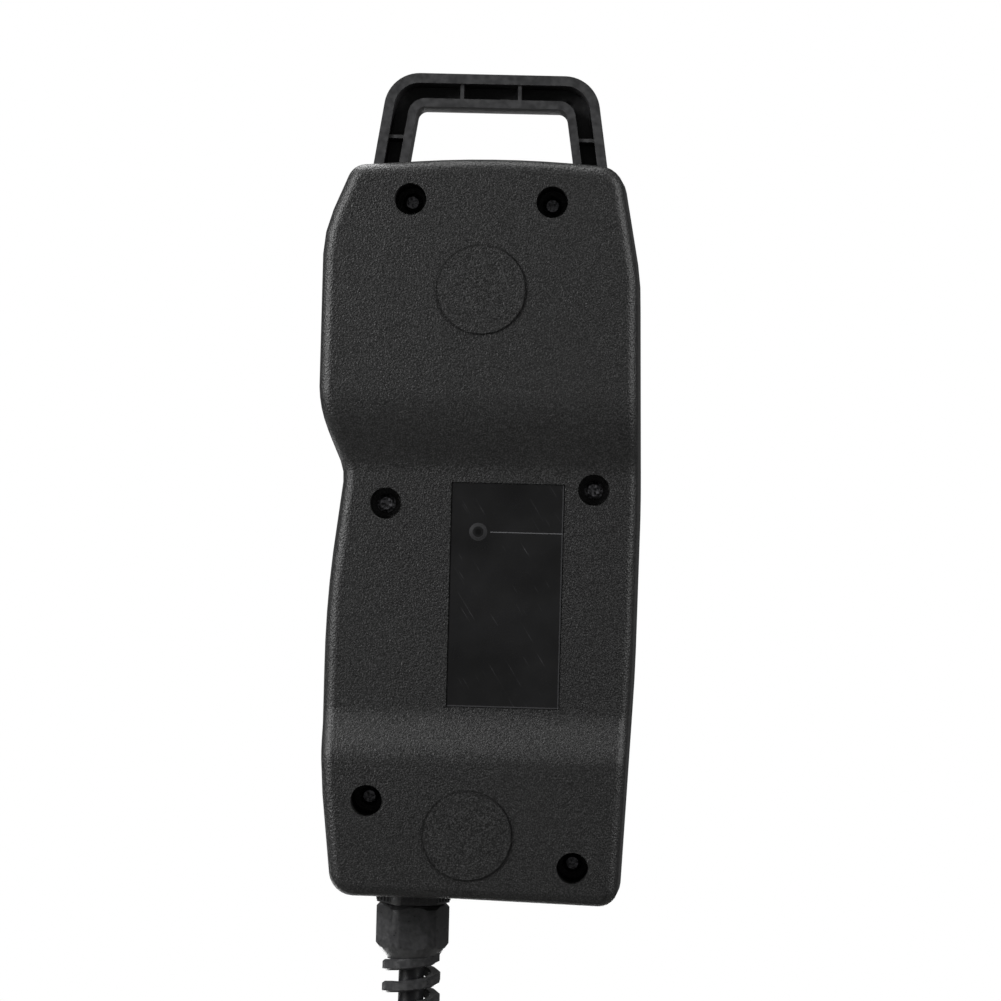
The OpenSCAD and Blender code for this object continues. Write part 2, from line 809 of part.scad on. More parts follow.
module detent_spring() color(steel) {
    nose_r = 0.8;
    nose_x = detent_r + nose_r + 0.15;
    foot_top = 12.2;
    foot_x = sqrt(pow(housing_inner_d / 2 - fit, 2) - pow(foot_top, 2));
    // a foot against the housing's wall, a blade and the nose that the teeth click past
    block(
        nose_x - nose_r, nose_x - nose_r + 0.5, detent_y, detent_y + 1.8, wheel_z,
        wheel_z + foot_top - 1.2
    );
    block(
        nose_x - nose_r, foot_x, detent_y, detent_y + 1.8, wheel_z + foot_top - 1.2,
        wheel_z + foot_top
    );
    rod(nose_x, wheel_z, detent_y, detent_y + 1.8, 2 * nose_r);
}

module sensor_board() color("#1f5a3a") {
    difference() {
        rod(0, wheel_z, board_y, board_y + 1.6, housing_inner_d - 0.4);
        rod(0, wheel_z, board_y - 1, board_y + 3, 7);
    }
}

module forked_sensor() color("#17171a") {
    slot = 0.8;
    difference() {
        block(disc_r - 4.4, disc_r + 2, code_y - 2.6, board_y, wheel_z - 5.5, wheel_z + 5.5);
        block(disc_r - 6, disc_r + 0.6, code_y - slot, code_y + slot, wheel_z - 7, wheel_z + 7);
    }
}

module generator_cover() color("#202022") {
    rod(0, wheel_z, housing_back, housing_back + cover_t, housing_d);
}

terminals_back = housing_back + cover_t + 6.5;
module generator_terminals() color("#2a2a2c") {
    difference() {
        block(-17, 17, housing_back + cover_t, terminals_back, wheel_z - 4.5, wheel_z + 4.5);
        for (k = [-2.5 : 1 : 2.5])
            rod(k * 5.4, wheel_z, terminals_back - 3.5, terminals_back + 1, 3.6);
    }
}

// ---------------------------------------------------------------- handwheel

flutes = 30;
bevel_w = 6.4;
bevel_h = 2.4;
module handwheel() color("#232325") {
    r = wheel_d / 2;
    difference() {
        spun(0, wheel_z, [
            [shaft_d / 2, wheel_back], [r - 0.8, wheel_back], [r, wheel_back - 0.8],
            [r, wheel_front + bevel_h + 1], [r - 1, wheel_front + bevel_h],
            [r - 1 - bevel_w, wheel_front],
            [r - 9.4, wheel_front], [r - 10.6, wheel_front + 1.6], [10.2, wheel_front + 1.6],
            [9.4, wheel_front], [0, wheel_front], [0, wheel_front + 3.4],
            [shaft_d / 2, wheel_front + 3.4]
        ]);
        for (k = [0 : flutes - 1])
            rod(
                (r + 1.1) * cos(360 * (k + 0.5) / flutes),
                wheel_z + (r + 1.1) * sin(360 * (k + 0.5) / flutes),
                wheel_front + 3.2, wheel_back + 1, 3.4
            );
        // recess for the centre cap
        rod(0, wheel_z, wheel_front - 1, wheel_front + 1.2, 14 + 2 * run);
        // hollow back between hub and rim
        spun(0, wheel_z, [
            [8, wheel_back + 1], [r - 4, wheel_back + 1], [r - 4, wheel_front + 4.4],
            [8, wheel_front + 4.4]
        ]);
        rod(crank_x, crank_z, wheel_front - 1, wheel_back + 1, 4);
    }
    // boss that carries the crank axle
    difference() {
        rod(crank_x, crank_z, wheel_front + 0.9, wheel_back, 9);
        rod(crank_x, crank_z, wheel_front - 1, wheel_back + 1, 4);
    }
}

// Printed ring that sits in the wheel's bevel and carries the hundred divisions
module dial_ring() color("#c6c8ca") {
    r = wheel_d / 2;
    ring_y = wheel_front - run;
    spun(0, wheel_z, [
        [r - 1.4, ring_y + bevel_h * (1 - 0.4 / bevel_w)],
        [r - 1 - bevel_w + 0.4, ring_y + bevel_h * 0.4 / bevel_w],
        [r - 1 - bevel_w + 0.4, ring_y + bevel_h * 0.4 / bevel_w - 0.3],
        [r - 1.4, ring_y + bevel_h * (1 - 0.4 / bevel_w) - 0.3]
    ]);
}

module wheel_cap() color("#9a9c9f") {
    spun(0, wheel_z, [
        [0, wheel_front + 1.2], [7, wheel_front + 1.2], [7, wheel_front + 0.2],
        [6.6, wheel_front - 0.2], [0, wheel_front - 0.2]
    ]);
}

crank_pin_d = 4;
module crank_axle() color(steel) {
    spun(crank_x, crank_z, [
        [0, wheel_back], [crank_pin_d / 2, wheel_back], [crank_pin_d / 2, crank_end + 4],
        [3.4, crank_end + 4], [3.4, crank_end + 2.4], [0, crank_end + 2.4]
    ]);
}

module crank_knob() color("#161618") {
    r = crank_knob_d / 2;
    bore = crank_pin_d / 2 + run;
    spun(crank_x, crank_z, [
        [bore, crank_foot], [r - 2.6, crank_foot], [r - 2.1, crank_foot - 0.6],
        [r - 1.9, crank_foot - 4], [r - 0.4, crank_foot - 0.55 * crank_knob_h],
        [r, crank_end + 4.4], [r - 0.5, crank_end + 2], [r - 1.8, crank_end + 0.5],
        [r - 2.8, crank_end], [3.8, crank_end], [3.8, crank_end + 4 + run], [bore, crank_end + 4 + run]
    ]);
}

module crank_cap() color("#161618") {
    spun(crank_x, crank_z, [
        [0, crank_end - 0.1], [3.4, crank_end - 0.1], [3.8, crank_end + 0.2],
        [3.8, crank_end + 1.4], [0, crank_end + 1.4]
    ]);
}

// ---------------------------------------------------------------- selector switches

module switch_body(x) {
    difference() {
        spun(x, selector_z, [
            [shaft_d / 2 + run, bush_front], [bush_d / 2, bush_front], [bush_d / 2, inner_y],
            [switch_d / 2, inner_y], [switch_d / 2, switch_back], [0, switch_back],
            [0, switch_back - 2], [7, switch_back - 2], [7, inner_y + 3.4],
            [shaft_d / 2 + run, inner_y + 3.4]
        ]);
    }
}
module switch_nut(x) {
    difference() {
        slab(seat_y - nut_h, seat_y) translate([x, selector_z]) hexagon(13);
        rod(x, selector_z, seat_y - nut_h - 1, seat_y + 1, bush_d + 2 * run);
    }
}
module switch_rotor(x) {
    spun(x, selector_z, [
        [0, knob_front + 2.6], [shaft_d / 2, knob_front + 2.6], [shaft_d / 2, inner_y + 3.7],
        [6.6, inner_y + 3.7], [6.6, switch_back - 2.4], [0, switch_back - 2.4]
    ]);
}
// Round knob with finger flutes, a pointer ridge and a hollow that clears the nut
module selector_knob(x, pointer) {
    r = knob_d / 2;
    difference() {
        union() {
            spun(x, selector_z, [
                [shaft_d / 2, knob_front + 2.6], [0, knob_front + 2.6], [0, knob_front + 0.6],
                [r - 4.2, knob_front], [r - 3, knob_front + 0.6], [r - 2.2, knob_back - 4.2],
                [r, knob_back - 3], [r, knob_back], [8.4, knob_back],
                [8.4, seat_y - 4.6], [shaft_d / 2, seat_y - 4.6]
            ]);
            translate([x, 0, selector_z]) rotate([0, -pointer, 0])
                block(-1.3, 1.3, knob_front - 1.2, knob_front + 1, -(r - 5), r - 3.2);
        }
        for (k = [0 : 11])
            rod(
                x + (r - 1.2) * cos(30 * k + 15), selector_z + (r - 1.2) * sin(30 * k + 15),
                knob_front - 1, knob_back - 4.6, 3
            );
    }
}

module axis_switch() color("#2c2c2f") switch_body(selector_reach * -1);
module axis_nut() color(steel) switch_nut(selector_reach * -1);
module axis_rotor() color(steel) switch_rotor(selector_reach * -1);
module axis_knob() color("#1a1a1c") selector_knob(selector_reach * -1, 0);

module multiplier_switch() color("#2c2c2f") switch_body(selector_reach);
module multiplier_nut() color(steel) switch_nut(selector_reach);
module multiplier_rotor() color(steel) switch_rotor(selector_reach);
module multiplier_knob() color("#1a1a1c") selector_knob(selector_reach, 0);

module switch_terminals() color(brass) {
    for (x = [-selector_reach, selector_reach])
        for (k = [0 : 9])
            translate([x, switch_back, selector_z]) rotate([0, 36 * k, 0])
                translate([8.4, 1.6, 0]) cube([0.6, 3.2, 1.4], center = true);
}

// ---------------------------------------------------------------- stop button

module stop_collar() color("#e3b71c") {
    spun(0, stop_z, [
        [stem_d / 2 + run, collar_front], [collar_d / 2 - 1.4, collar_front],
        [collar_d / 2, collar_front + 1.4], [collar_d / 2, seat_y - gasket_t],
        [barrel_d / 2, seat_y - gasket_t], [barrel_d / 2, barrel_back],
        [stem_d / 2 + run, barrel_back]
    ]);
}

module stop_gasket() color(rubber) {
    difference() {
        rod(0, stop_z, seat_y - gasket_t, seat_y, collar_d - 2);
        rod(0, stop_z, seat_y - gasket_t - 1, seat_y + 1, barrel_d + 2 * run);
    }
}

module stop_nut() color("#2a2a2c") {
    difference() {
        slab(inner_y, inner_y + 3) translate([0, stop_z]) hexagon(barrel_d + 4);
        rod(0, stop_z, inner_y - 1, inner_y + 4, barrel_d + 2 * run);
    }
}

module stop_stem() color("#3a3a3d") {
    spun(0, stop_z, [
        [0, head_back - 6], [stem_d / 2 - 1, head_back - 6], [stem_d / 2 - 1, head_back + 0.5],
        [stem_d / 2, head_back + 0.5], [stem_d / 2, stem_back], [spring_d / 2 + slack, stem_back],
        [spring_d / 2 + slack, spring_floor], [0, spring_floor]
    ]);
}

module stop_spring() color(steel) {
    turns = 6;
    steps = 10;
    wire = 0.9;
    low = spring_floor + wire / 2 + 0.05;
    high = contact_floor - wire / 2 - 0.05;
    tube(
        [
            for (k = [0 : turns * steps])
                [
                    (spring_d - wire) / 2 * cos(360 * k / steps),
                    low + (high - low) * k / (turns * steps),
                    stop_z + (spring_d - wire) / 2 * sin(360 * k / steps)
                ]
        ],
        wire, 6
    );
}

module stop_contact_block() color("#2a2a2c") {
    difference() {
        block(-10, 10, barrel_back - 3.5, contact_back, stop_z - 10, stop_z + 10);
        rod(0, stop_z, barrel_back - 4.5, barrel_back, barrel_d + 2 * run);
        rod(0, stop_z, barrel_back - 1, contact_floor, stem_d + 1);
    }
    for (x = [-6, 6])
        for (s = [-1, 1])
            rod(x, stop_z + s * 6, contact_back, contact_back + 0.8, 4.4);
}

module stop_head() color("#b3211f") {
    r = stop_head_d / 2;
    socket = stem_d / 2 - 1 + run;
    spun(0, stop_z, [
        [socket, head_back + 0.3], [stem_d / 2 + 2, head_back + 0.3], [stem_d / 2 + 2.6, head_back - 3],
        [r - 3, head_back - 4], [r - 2.2, head_back - 2], [r - 0.8, head_back - 2.4], [r, head_back - 4],
        [r, head_front + 5.5], [r - 1, head_front + 3.1], [r - 4, head_front + 1.1],
        [r - 8, head_front + 0.2], [0, head_front], [0, head_back - 6.2], [socket, head_back - 6.2]
    ]);
}

// ---------------------------------------------------------------- lamp and junction board

lamp_d = 8;
module lamp_holder() color("#a9abae") {
    spun(0, lamp_z, [
        [2.6, seat_y - 1.6], [lamp_d / 2 + 0.6, seat_y - 1.6], [lamp_d / 2 + 1, seat_y - 1.2],
        [lamp_d / 2 + 1, seat_y], [lamp_d / 2, seat_y], [lamp_d / 2, inner_y + 4], [2.6, inner_y + 4]
    ]);
}

module lamp() color("#3fae4d") {
    spun(0, lamp_z, [
        [0, seat_y - 3.4], [1.1, seat_y - 3.1], [1.9, seat_y - 2.5], [2.4, seat_y - 1.6],
        [2.5, seat_y], [2.5, inner_y + 4.2], [0, inner_y + 4.2]
    ]);
}

junction_y = -3;
junction_w = 38;
junction_above = 12;
junction_below = 13;
junction_screw_z = [below(selector_drop - 8.3), below(selector_drop + 10.2)];
module junction_board() color("#1f5a3a") {
    difference() {
        block(
            -junction_w / 2, junction_w / 2, junction_y, junction_y + 1.6,
            selector_z - junction_below, selector_z + junction_above
        );
        for (z = junction_screw_z)
            rod(0, z, junction_y - 1, junction_y + 3, 3);
    }
}

module junction_terminals() color("#2f6f4a") {
    top = below(selector_drop - 2.6);
    difference() {
        block(-junction_w / 2 + 2, junction_w / 2 - 2, junction_y + 1.6, junction_y + 6.6, top - 7, top);
        for (k = [-4 : 4])
            rod(k * 3.7, top - 3.5, junction_y + 4, junction_y + 8, 2.4);
    }
}

module junction_screws() color(steel) {
    for (z = junction_screw_z)
        screw(0, z, junction_y + 1.6, 4.4, 2.2, 7);
}

// Bundled wires: cord to generator, cord to board, board to stop button
module wire_loom() color("#8a2f2a") {
    top = case_bottom + pad_t + gland_inside + 4.8;
    tube([
        [gland_x - 1.6, gland_y, top], [gland_x - 2, gland_y + 2, top + 4],
        [gland_x - 3, gland_y + 8, top + 9], [gland_x - 5, gland_y + 12, top + 18],
        [gland_x - 7, gland_y + 13, wheel_z - 10], [gland_x - 7, gland_y + 13, wheel_z - 4.8]
    ], 2.4, 6);
    tube([
        [gland_x + 1.6, gland_y, top], [gland_x + 2, gland_y + 2, top + 4],
        [gland_x + 4, gland_y + 9, top + 10], [gland_x + 5, gland_y + 13, top + 20],
        [gland_x + 5.4, gland_y + 14, wheel_z], [gland_x + 4, gland_y + 15, wheel_z + 30],
        [gland_x + 1, gland_y + 17.4, selector_z - 16], [12, gland_y + 17.4, selector_z - 5]
    ], 2.4, 6);
    tube([
        [-10, junction_y + 4, selector_z + 3], [-11, junction_y + 4, selector_z + 9],
        [-13, junction_y + 1, selector_z + 18], [-14, junction_y - 3, selector_z + 26],
        [-13, junction_y - 6, stop_z - 4], [-11.4, junction_y - 7, stop_z - 1]
    ], 2.4, 6);
}

// ---------------------------------------------------------------- gland

// Hexagon with its corners turned down to a round, between two heights
module hex_round(z0, z1) {
    translate([gland_x, gland_y, z0]) linear_extrude(z1 - z0) rotate(5) intersection() {
        hexagon(gland_af);
        circle(d = gland_d);
    }
}

barrel_top = hex_bottom;
barrel_length = 9.6;
seal_d = 12.6;
module gland_body() color(nylon_black) {
    difference() {
        union() {
            hex_round(hex_bottom, hex_bottom + gland_hex_h);
            translate([gland_x, gland_y, hex_bottom])
                cylinder(h = gland_hex_h + gasket_h + pad_t + gland_inside, d = thread_d);
            translate([gland_x, gland_y, barrel_top - barrel_length])
                cylinder(h = barrel_length, d = thread_d + 0.6);
            // fine ribs on the hexagon's flats, which stop it turning in a spanner
            for (k = [0 : 5]) for (j = [-2 : 2])
                translate([gland_x, gland_y, hex_bottom + 0.6])
                    rotate(5 + 60 * k + 30)
                        translate([gland_af / 2 - 0.1, j * 1.7 - 0.3, 0]) cube([0.4, 0.6, gland_hex_h - 1.2]);
        }
        translate([gland_x, gland_y, hex_bottom - 20]) cylinder(h = 50, d = cord_d + 1);
        translate([gland_x, gland_y, hex_bottom - 20]) cylinder(h = 20, d = seal_d + 2 * run);
    }
}

// Lock nut inside the case, gasket outside it, and the rubber ring that grips the cord
module gland_fittings() color(rubber) {
    translate([gland_x, gland_y, case_bottom + pad_t]) difference() {
        linear_extrude(4) hexagon(17);
        translate([0, 0, -1]) cylinder(h = 6, d = thread_d + 2 * run);
    }
    translate([gland_x, gland_y, case_bottom - gasket_h]) difference() {
        cylinder(h = gasket_h, d = gland_af);
        translate([0, 0, -1]) cylinder(h = 3, d = thread_d + 2 * run);
    }
    translate([gland_x, gland_y, barrel_top - barrel_length]) difference() {
        cylinder(h = barrel_length - 0.3, d = seal_d);
        translate([0, 0, -1]) cylinder(h = 12, d = cord_d + 2 * run);
    }
}

// The spiral: a strand of six-sided section wound downwards from the dome
module spiral_strand() {
    r = tail_d / 2;
    steps = 14;
    section = [[r - tail_t, 1.3], [r - 0.6, 1.5], [r, 1], [r, -1], [r - 0.6, -1.5], [r - tail_t, -1.3]];
    sides = len(section);
    count = round(steps * (tail_turns - 0.3));
    points = [
        for (i = [0 : count])
            for (s = section)
                [
                    s[0] * cos(-360 * i / steps), s[0] * sin(-360 * i / steps),
                    s[1] - tail_pitch * i / steps
                ]
    ];
    walls = [
        for (i = [0 : count - 1])
            for (k = [0 : sides - 1])
                let (p = i * sides, l = (k + 1) % sides)
                each [
                    [p + k, p + l, p + sides + l],
                    [p + k, p + sides + l, p + sides + k]
                ]
    ];
    polyhedron(
        points = points,
        faces = concat(
            walls,
            [[for (k = [sides - 1 : -1 : 0]) k]],
            [[for (k = [0 : sides - 1]) count * sides + k]]
        ),
        convexity = 10
    );
}

module dome_nut() color(nylon_black) {
    r = tail_d / 2;
    difference() {
        union() {
            // hexagon, turned down to a cone below and with its top edge broken
            intersection() {
                hex_round(dome_bottom, dome_top);
                upright(gland_x, gland_y, [
                    [0, dome_bottom], [r - tail_t + 1.6, dome_bottom], [gland_d / 2 + 0.1, dome_shoulder],
                    [gland_d / 2 + 0.1, dome_top - 1.1], [gland_d / 2 - 0.9, dome_top], [0, dome_top]
                ]);
            }
        }
        translate([gland_x, gland_y, dome_shoulder + 0.3]) cylinder(h = dome_h + 1, d = thread_d + 0.6 + 2 * run);
        translate([gland_x, gland_y, dome_bottom - 1]) cylinder(h = 10, d = cord_d + 1);
    }
    // moulding mark low on one flat
    translate([gland_x, gland_y, dome_shoulder + 3.4]) rotate(125)
        translate([gland_af / 2 - 0.2, -0.45, 0]) cube([0.8, 0.9, 2.6]);
    translate([gland_x, gland_y, dome_bottom + 0.5]) rotate(165) spiral_strand();
    // plain ring that ends the spiral
    upright(gland_x, gland_y, [
        [r - tail_t - 0.3, tail_bottom], [r - 0.4, tail_bottom], [r + 0.3, tail_bottom + 0.7],
        [r + 0.3, tail_bottom + 2.6], [r - tail_t - 0.3, tail_bottom + 2.6]
    ]);
}

// ---------------------------------------------------------------- cord and plug

module cord_lead() color(rubber) tube(lead_route, cord_d, 10);
module cord_end() color(rubber) tube(end_route, cord_d, 10);

// Outer shape of the tied coil
module cord_coil() color(rubber) {
    w = coil_half_w;
    h = coil_half_h;
    e = coil_edge;
    spun(coil_x, coil_z, [
        for (c = [[1, -1], [1, 1], [-1, 1], [-1, -1]])
            for (k = [0 : 3])
                let (a = atan2(c[1], c[0]) - 45 + 30 * k)
                [coil_r + c[0] * (h - e) + e * cos(a), coil_y + c[1] * (w - e) + e * sin(a)]
    ]);
}

// Hook-and-loop straps round the coil
module cord_ties() color("#26262a") {
    for (a = [112, 232, 352])
        translate([coil_x + coil_r * cos(a), coil_y, coil_z + coil_r * sin(a)]) rotate([0, -a, 0])
            translate([0, 0, -tie_w / 2]) linear_extrude(tie_w) difference() {
                square([2 * (coil_half_h + tie_t + fit), 2 * (coil_half_w + tie_t + fit)], center = true);
                square([2 * (coil_half_h + fit), 2 * (coil_half_w + fit)], center = true);
            }
}

// Plug: cord clamp, shell, insulator with its pins
plug_len = 44;
ring_h = 14;
module plug_shell() color("#7d8084") {
    difference() {
        union() {
            upright(plug_x, plug_y, [
                [0, plug_top], [5.4, plug_top], [6.6, plug_top - 4], [7.4, plug_top - 4.4],
                [7.4, plug_top - 12], [8.6, plug_top - 13], [8.6, plug_top - 28],
                [7.6, plug_top - 28.2], [7.6, plug_top - plug_len + 3], [6.4, plug_top - plug_len + 3],
                [6.4, plug_top - 38], [0, plug_top - 38]
            ]);
            for (k = [0 : 6])
                translate([
                    plug_x + (k == 6 ? 0 : 4) * cos(60 * k), plug_y + (k == 6 ? 0 : 4) * sin(60 * k),
                    plug_top - plug_len + 2.4
                ]) cylinder(h = 5, d = 1);
        }
    }
}

// Knurled ring that turns freely on the plug's shell and screws it to its socket
module plug_ring() color("#95989c") {
    top = plug_top - 28.6;
    difference() {
        upright(plug_x, plug_y, [
            [7.6 + slack, top], [9.8, top], [10.4, top - 0.6], [10.4, top - ring_h + 0.6],
            [9.8, top - ring_h], [8.6, top - ring_h], [8.6, top - ring_h + 4], [7.6 + slack, top - ring_h + 4]
        ]);
        for (k = [0 : 23])
            translate([
                plug_x + 10.9 * cos(15 * k), plug_y + 10.9 * sin(15 * k), top - ring_h - 1
            ]) cylinder(h = ring_h + 2, d = 1.6);
    }
}

rear_case();
front_case();
case_seal();
case_screws();
hanging_loop();
upper_magnet();
lower_magnet();
rear_label();
front_film();
generator_housing();
generator_screws();
bearing_outer_ring();
bearing_inner_ring();
bearing_balls();
wheel_shaft();
code_hub();
code_disc();
detent_wheel();
detent_spring();
sensor_board();
forked_sensor();
generator_cover();
generator_terminals();
handwheel();
dial_ring();
wheel_cap();
crank_axle();
crank_knob();
crank_cap();
axis_switch();
axis_nut();
axis_rotor();
axis_knob();
multiplier_switch();
multiplier_nut();
multiplier_rotor();
multiplier_knob();
switch_terminals();
stop_collar();
stop_gasket();
stop_nut();
stop_stem();
stop_spring();
stop_contact_block();
stop_head();
lamp_holder();
lamp();
junction_board();
junction_terminals();
junction_screws();
wire_loom();
gland_body();
gland_fittings();
dome_nut();
cord_lead();
cord_coil();
cord_ties();
cord_end();
plug_shell();
plug_ring();
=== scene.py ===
import math

import bmesh
import bpy
from mathutils import Matrix, Vector


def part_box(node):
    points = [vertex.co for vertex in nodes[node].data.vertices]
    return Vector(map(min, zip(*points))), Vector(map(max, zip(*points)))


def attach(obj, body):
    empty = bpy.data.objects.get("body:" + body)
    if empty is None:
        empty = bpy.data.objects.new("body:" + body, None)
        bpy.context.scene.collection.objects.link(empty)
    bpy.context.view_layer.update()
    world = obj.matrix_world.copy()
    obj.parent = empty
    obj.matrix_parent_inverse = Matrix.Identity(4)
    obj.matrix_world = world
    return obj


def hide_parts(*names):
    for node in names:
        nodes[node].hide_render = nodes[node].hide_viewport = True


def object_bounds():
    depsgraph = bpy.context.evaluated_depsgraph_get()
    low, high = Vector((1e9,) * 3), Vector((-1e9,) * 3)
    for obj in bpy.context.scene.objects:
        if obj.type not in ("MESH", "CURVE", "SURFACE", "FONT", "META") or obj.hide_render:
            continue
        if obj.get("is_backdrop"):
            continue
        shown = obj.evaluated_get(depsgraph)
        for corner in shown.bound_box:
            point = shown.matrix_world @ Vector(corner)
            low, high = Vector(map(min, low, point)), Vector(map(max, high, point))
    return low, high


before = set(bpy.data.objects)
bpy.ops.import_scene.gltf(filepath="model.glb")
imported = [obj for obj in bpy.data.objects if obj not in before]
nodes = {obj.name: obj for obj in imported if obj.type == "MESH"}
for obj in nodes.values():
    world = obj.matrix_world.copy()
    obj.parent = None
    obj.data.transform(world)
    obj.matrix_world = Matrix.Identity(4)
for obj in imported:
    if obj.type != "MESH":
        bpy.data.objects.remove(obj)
scene = bpy.context.scene
low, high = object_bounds()

# ------------------------------------------------------------------ view and light
# The unit hangs with its back to the viewer, a touch to the right of square and leaning by a
# degree and a half, seen through a long lens and lit by large soft boxes in a pale room.
# Lengths are in metres, and the field is the width that is seen at the aim.
scene.view_settings.view_transform = "Standard"
stand_off = 0.80
field_width = 0.2659
aim = Vector((-0.0065, 0.009, -0.1046))
swing = math.radians(1.6)
lean = math.radians(1.5)
lens = bpy.data.cameras.new("viewing_lens")
lens.sensor_width = 36.0
lens.lens = 36.0 * stand_off / field_width
lens.clip_start, lens.clip_end = 0.05, 20.0
camera = bpy.data.objects.new("viewing_camera", lens)
scene.collection.objects.link(camera)
back = Vector((-math.sin(swing), math.cos(swing), 0.0))
up = Vector((0.0, 0.0, 1.0))
right = up.cross(back)
turned_up = math.cos(lean) * up - math.sin(lean) * right
turned_right = math.cos(lean) * right + math.sin(lean) * up
turn = Matrix((turned_right, turned_up, back)).transposed()
camera.matrix_world = Matrix.Translation(aim + back * stand_off) @ turn.to_4x4()
scene.camera = camera


def colour(code):
    """An sRGB hex value as the linear colour that a socket takes."""
    parts = [int(code[i : i + 2], 16) / 255 for i in (1, 3, 5)]
    return [c / 12.92 if c <= 0.04045 else ((c + 0.055) / 1.055) ** 2.4 for c in parts] + [1.0]


def add(tree, kind, inputs=None, **settings):
    """Adds a node, with its settings, and sets or links its inputs."""
    made = tree.nodes.new(kind)
    for name, value in settings.items():
        setattr(made, name, value)
    for socket, value in (inputs or {}).items():
        if isinstance(value, bpy.types.NodeSocket):
            tree.links.new(value, made.inputs[socket])
        else:
            made.inputs[socket].default_value = value
    return made


# A pale room: plain white where the eye looks past the unit, a little of that white in a
# gloss, and a dim even light on everything else.
dim_level = 0.05
gloss_level = 0.06
room = bpy.data.worlds.new("pale_room")
room.use_nodes = True
room_tree = room.node_tree
room_tree.nodes.clear()
path = add(room_tree, "ShaderNodeLightPath")
dim = add(room_tree, "ShaderNodeBackground", {"Color": colour("#ffffff"), "Strength": dim_level})
white = add(room_tree, "ShaderNodeBackground", {"Color": colour("#ffffff"), "Strength": 1.0})
gloss_share = add(
    room_tree,
    "ShaderNodeMath",
    {0: path.outputs["Is Glossy Ray"], 1: gloss_level},
    operation="MULTIPLY",
)
seen = add(
    room_tree,
    "ShaderNodeMath",
    {0: path.outputs["Is Camera Ray"], 1: path.outputs["Is Transmission Ray"]},
    operation="MAXIMUM",
)
share = add(
    room_tree,
    "ShaderNodeMath",
    {0: seen.outputs[0], 1: gloss_share.outputs[0]},
    operation="MAXIMUM",
)
blend = add(
    room_tree,
    "ShaderNodeMixShader",
    {0: share.outputs[0], 1: dim.outputs[0], 2: white.outputs[0]},
)
add(room_tree, "ShaderNodeOutputWorld", {"Surface": blend.outputs[0]})
scene.world = room


def softbox(name, place, target, width, height, watts):
    """A rectangular lamp at a place, turned to a target."""
    lamp = bpy.data.lights.new(name, "AREA")
    lamp.shape = "RECTANGLE"
    lamp.size, lamp.size_y, lamp.energy = width, height, watts
    holder = bpy.data.objects.new(name, lamp)
    scene.collection.objects.link(holder)
    holder.location = place
    holder.rotation_mode = "QUATERNION"
    holder.rotation_quaternion = (Vector(target) - Vector(place)).to_track_quat("-Z", "Y")


# One box above, one at a window to the left, a tall strip at each side for the edges, and two
# in front, above and below, for the panel
softbox("overhead_box", (0.15, -0.02, 1.05), (0.0, 0.0, -0.10), 0.7, 0.25, 9.4)
softbox("window_box", (0.66, 0.50, 0.22), (0.0, 0.0, -0.03), 0.3, 0.3, 4.3)
softbox("left_box", (0.80, 0.44, 0.16), (0.0, 0.0, -0.10), 0.15, 0.8, 5.4)
softbox("right_box", (-0.90, 0.50, 0.30), (0.0, 0.0, -0.02), 0.15, 0.7, 7.6)
softbox("front_high_box", (0.35, -0.60, 1.00), (0.0, 0.0, -0.12), 0.7, 0.5, 11.0)
softbox("front_low_box", (0.25, -0.85, -0.72), (0.0, 0.0, -0.14), 1.2, 0.5, 7.5)

# Pale floor under the hanging unit, wide enough for the cord's shadow. It is pale to the eye and
# grey to the lamps, so that it throws little light up under the case, and clear from below.
floor_drop = 0.40
floor_half = 1.6
floor_glow = 0.80
floor_mesh = bpy.data.meshes.new("pale_floor")
floor_z = low.z - floor_drop
floor_mesh.from_pydata(
    [
        (-floor_half, -floor_half, floor_z),
        (floor_half, -floor_half, floor_z),
        (floor_half, floor_half, floor_z),
        (-floor_half, floor_half, floor_z),
    ],
    [],
    [(0, 1, 2, 3)],
)
floor = bpy.data.objects.new("pale_floor", floor_mesh)
scene.collection.objects.link(floor)
floor_paint = bpy.data.materials.new("pale floor paint")
floor_paint.use_nodes = True
floor_tree = floor_paint.node_tree
floor_shader = floor_tree.nodes["Principled BSDF"]
floor_path = add(floor_tree, "ShaderNodeLightPath")
floor_lift = add(
    floor_tree,
    "ShaderNodeMath",
    {0: floor_path.outputs["Is Camera Ray"], 1: floor_glow},
    operation="MULTIPLY",
)
floor_tree.links.new(floor_lift.outputs[0], floor_shader.inputs["Emission Strength"])
floor_side = add(floor_tree, "ShaderNodeNewGeometry")
from_above = add(
    floor_tree,
    "ShaderNodeMath",
    {0: 1.0, 1: floor_side.outputs["Backfacing"]},
    operation="SUBTRACT",
)
floor_tree.links.new(from_above.outputs[0], floor_shader.inputs["Alpha"])
floor_shader.inputs["Emission Color"].default_value = colour("#ffffff")
floor_shader.inputs["Base Color"].default_value = colour("#868684")
floor_shader.inputs["Roughness"].default_value = 0.8
floor_mesh.materials.append(floor_paint)
floor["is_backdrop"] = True

# ------------------------------------------------------------------ cord
# A round 7 mm lead in a matt black PVC sheath, 3 m long. It drops out of the gland's spiral,
# bends over and is wound into one neat coil of eleven turns, held by three straps, and ends in
# a round metal plug that hangs beside the coil.
cord_d = 0.007
cord_exit = (0.0153, -0.017, -0.2306)
coil_middle = Vector((-0.014, -0.024, -0.3665))
coil_radius = 0.041


def new_material(name, base, roughness, metallic=0.0, ior=1.5):
    """A material with its plain numbers set on the shader's own sockets."""
    made = bpy.data.materials.new(name)
    made.use_nodes = True
    shader = made.node_tree.nodes["Principled BSDF"]
    shader.inputs["Base Color"].default_value = colour(base)
    shader.inputs["Roughness"].default_value = roughness
    shader.inputs["Metallic"].default_value = metallic
    if not metallic:
        shader.inputs["IOR"].default_value = ior
    made.diffuse_color = colour(base)
    return made, made.node_tree, shader


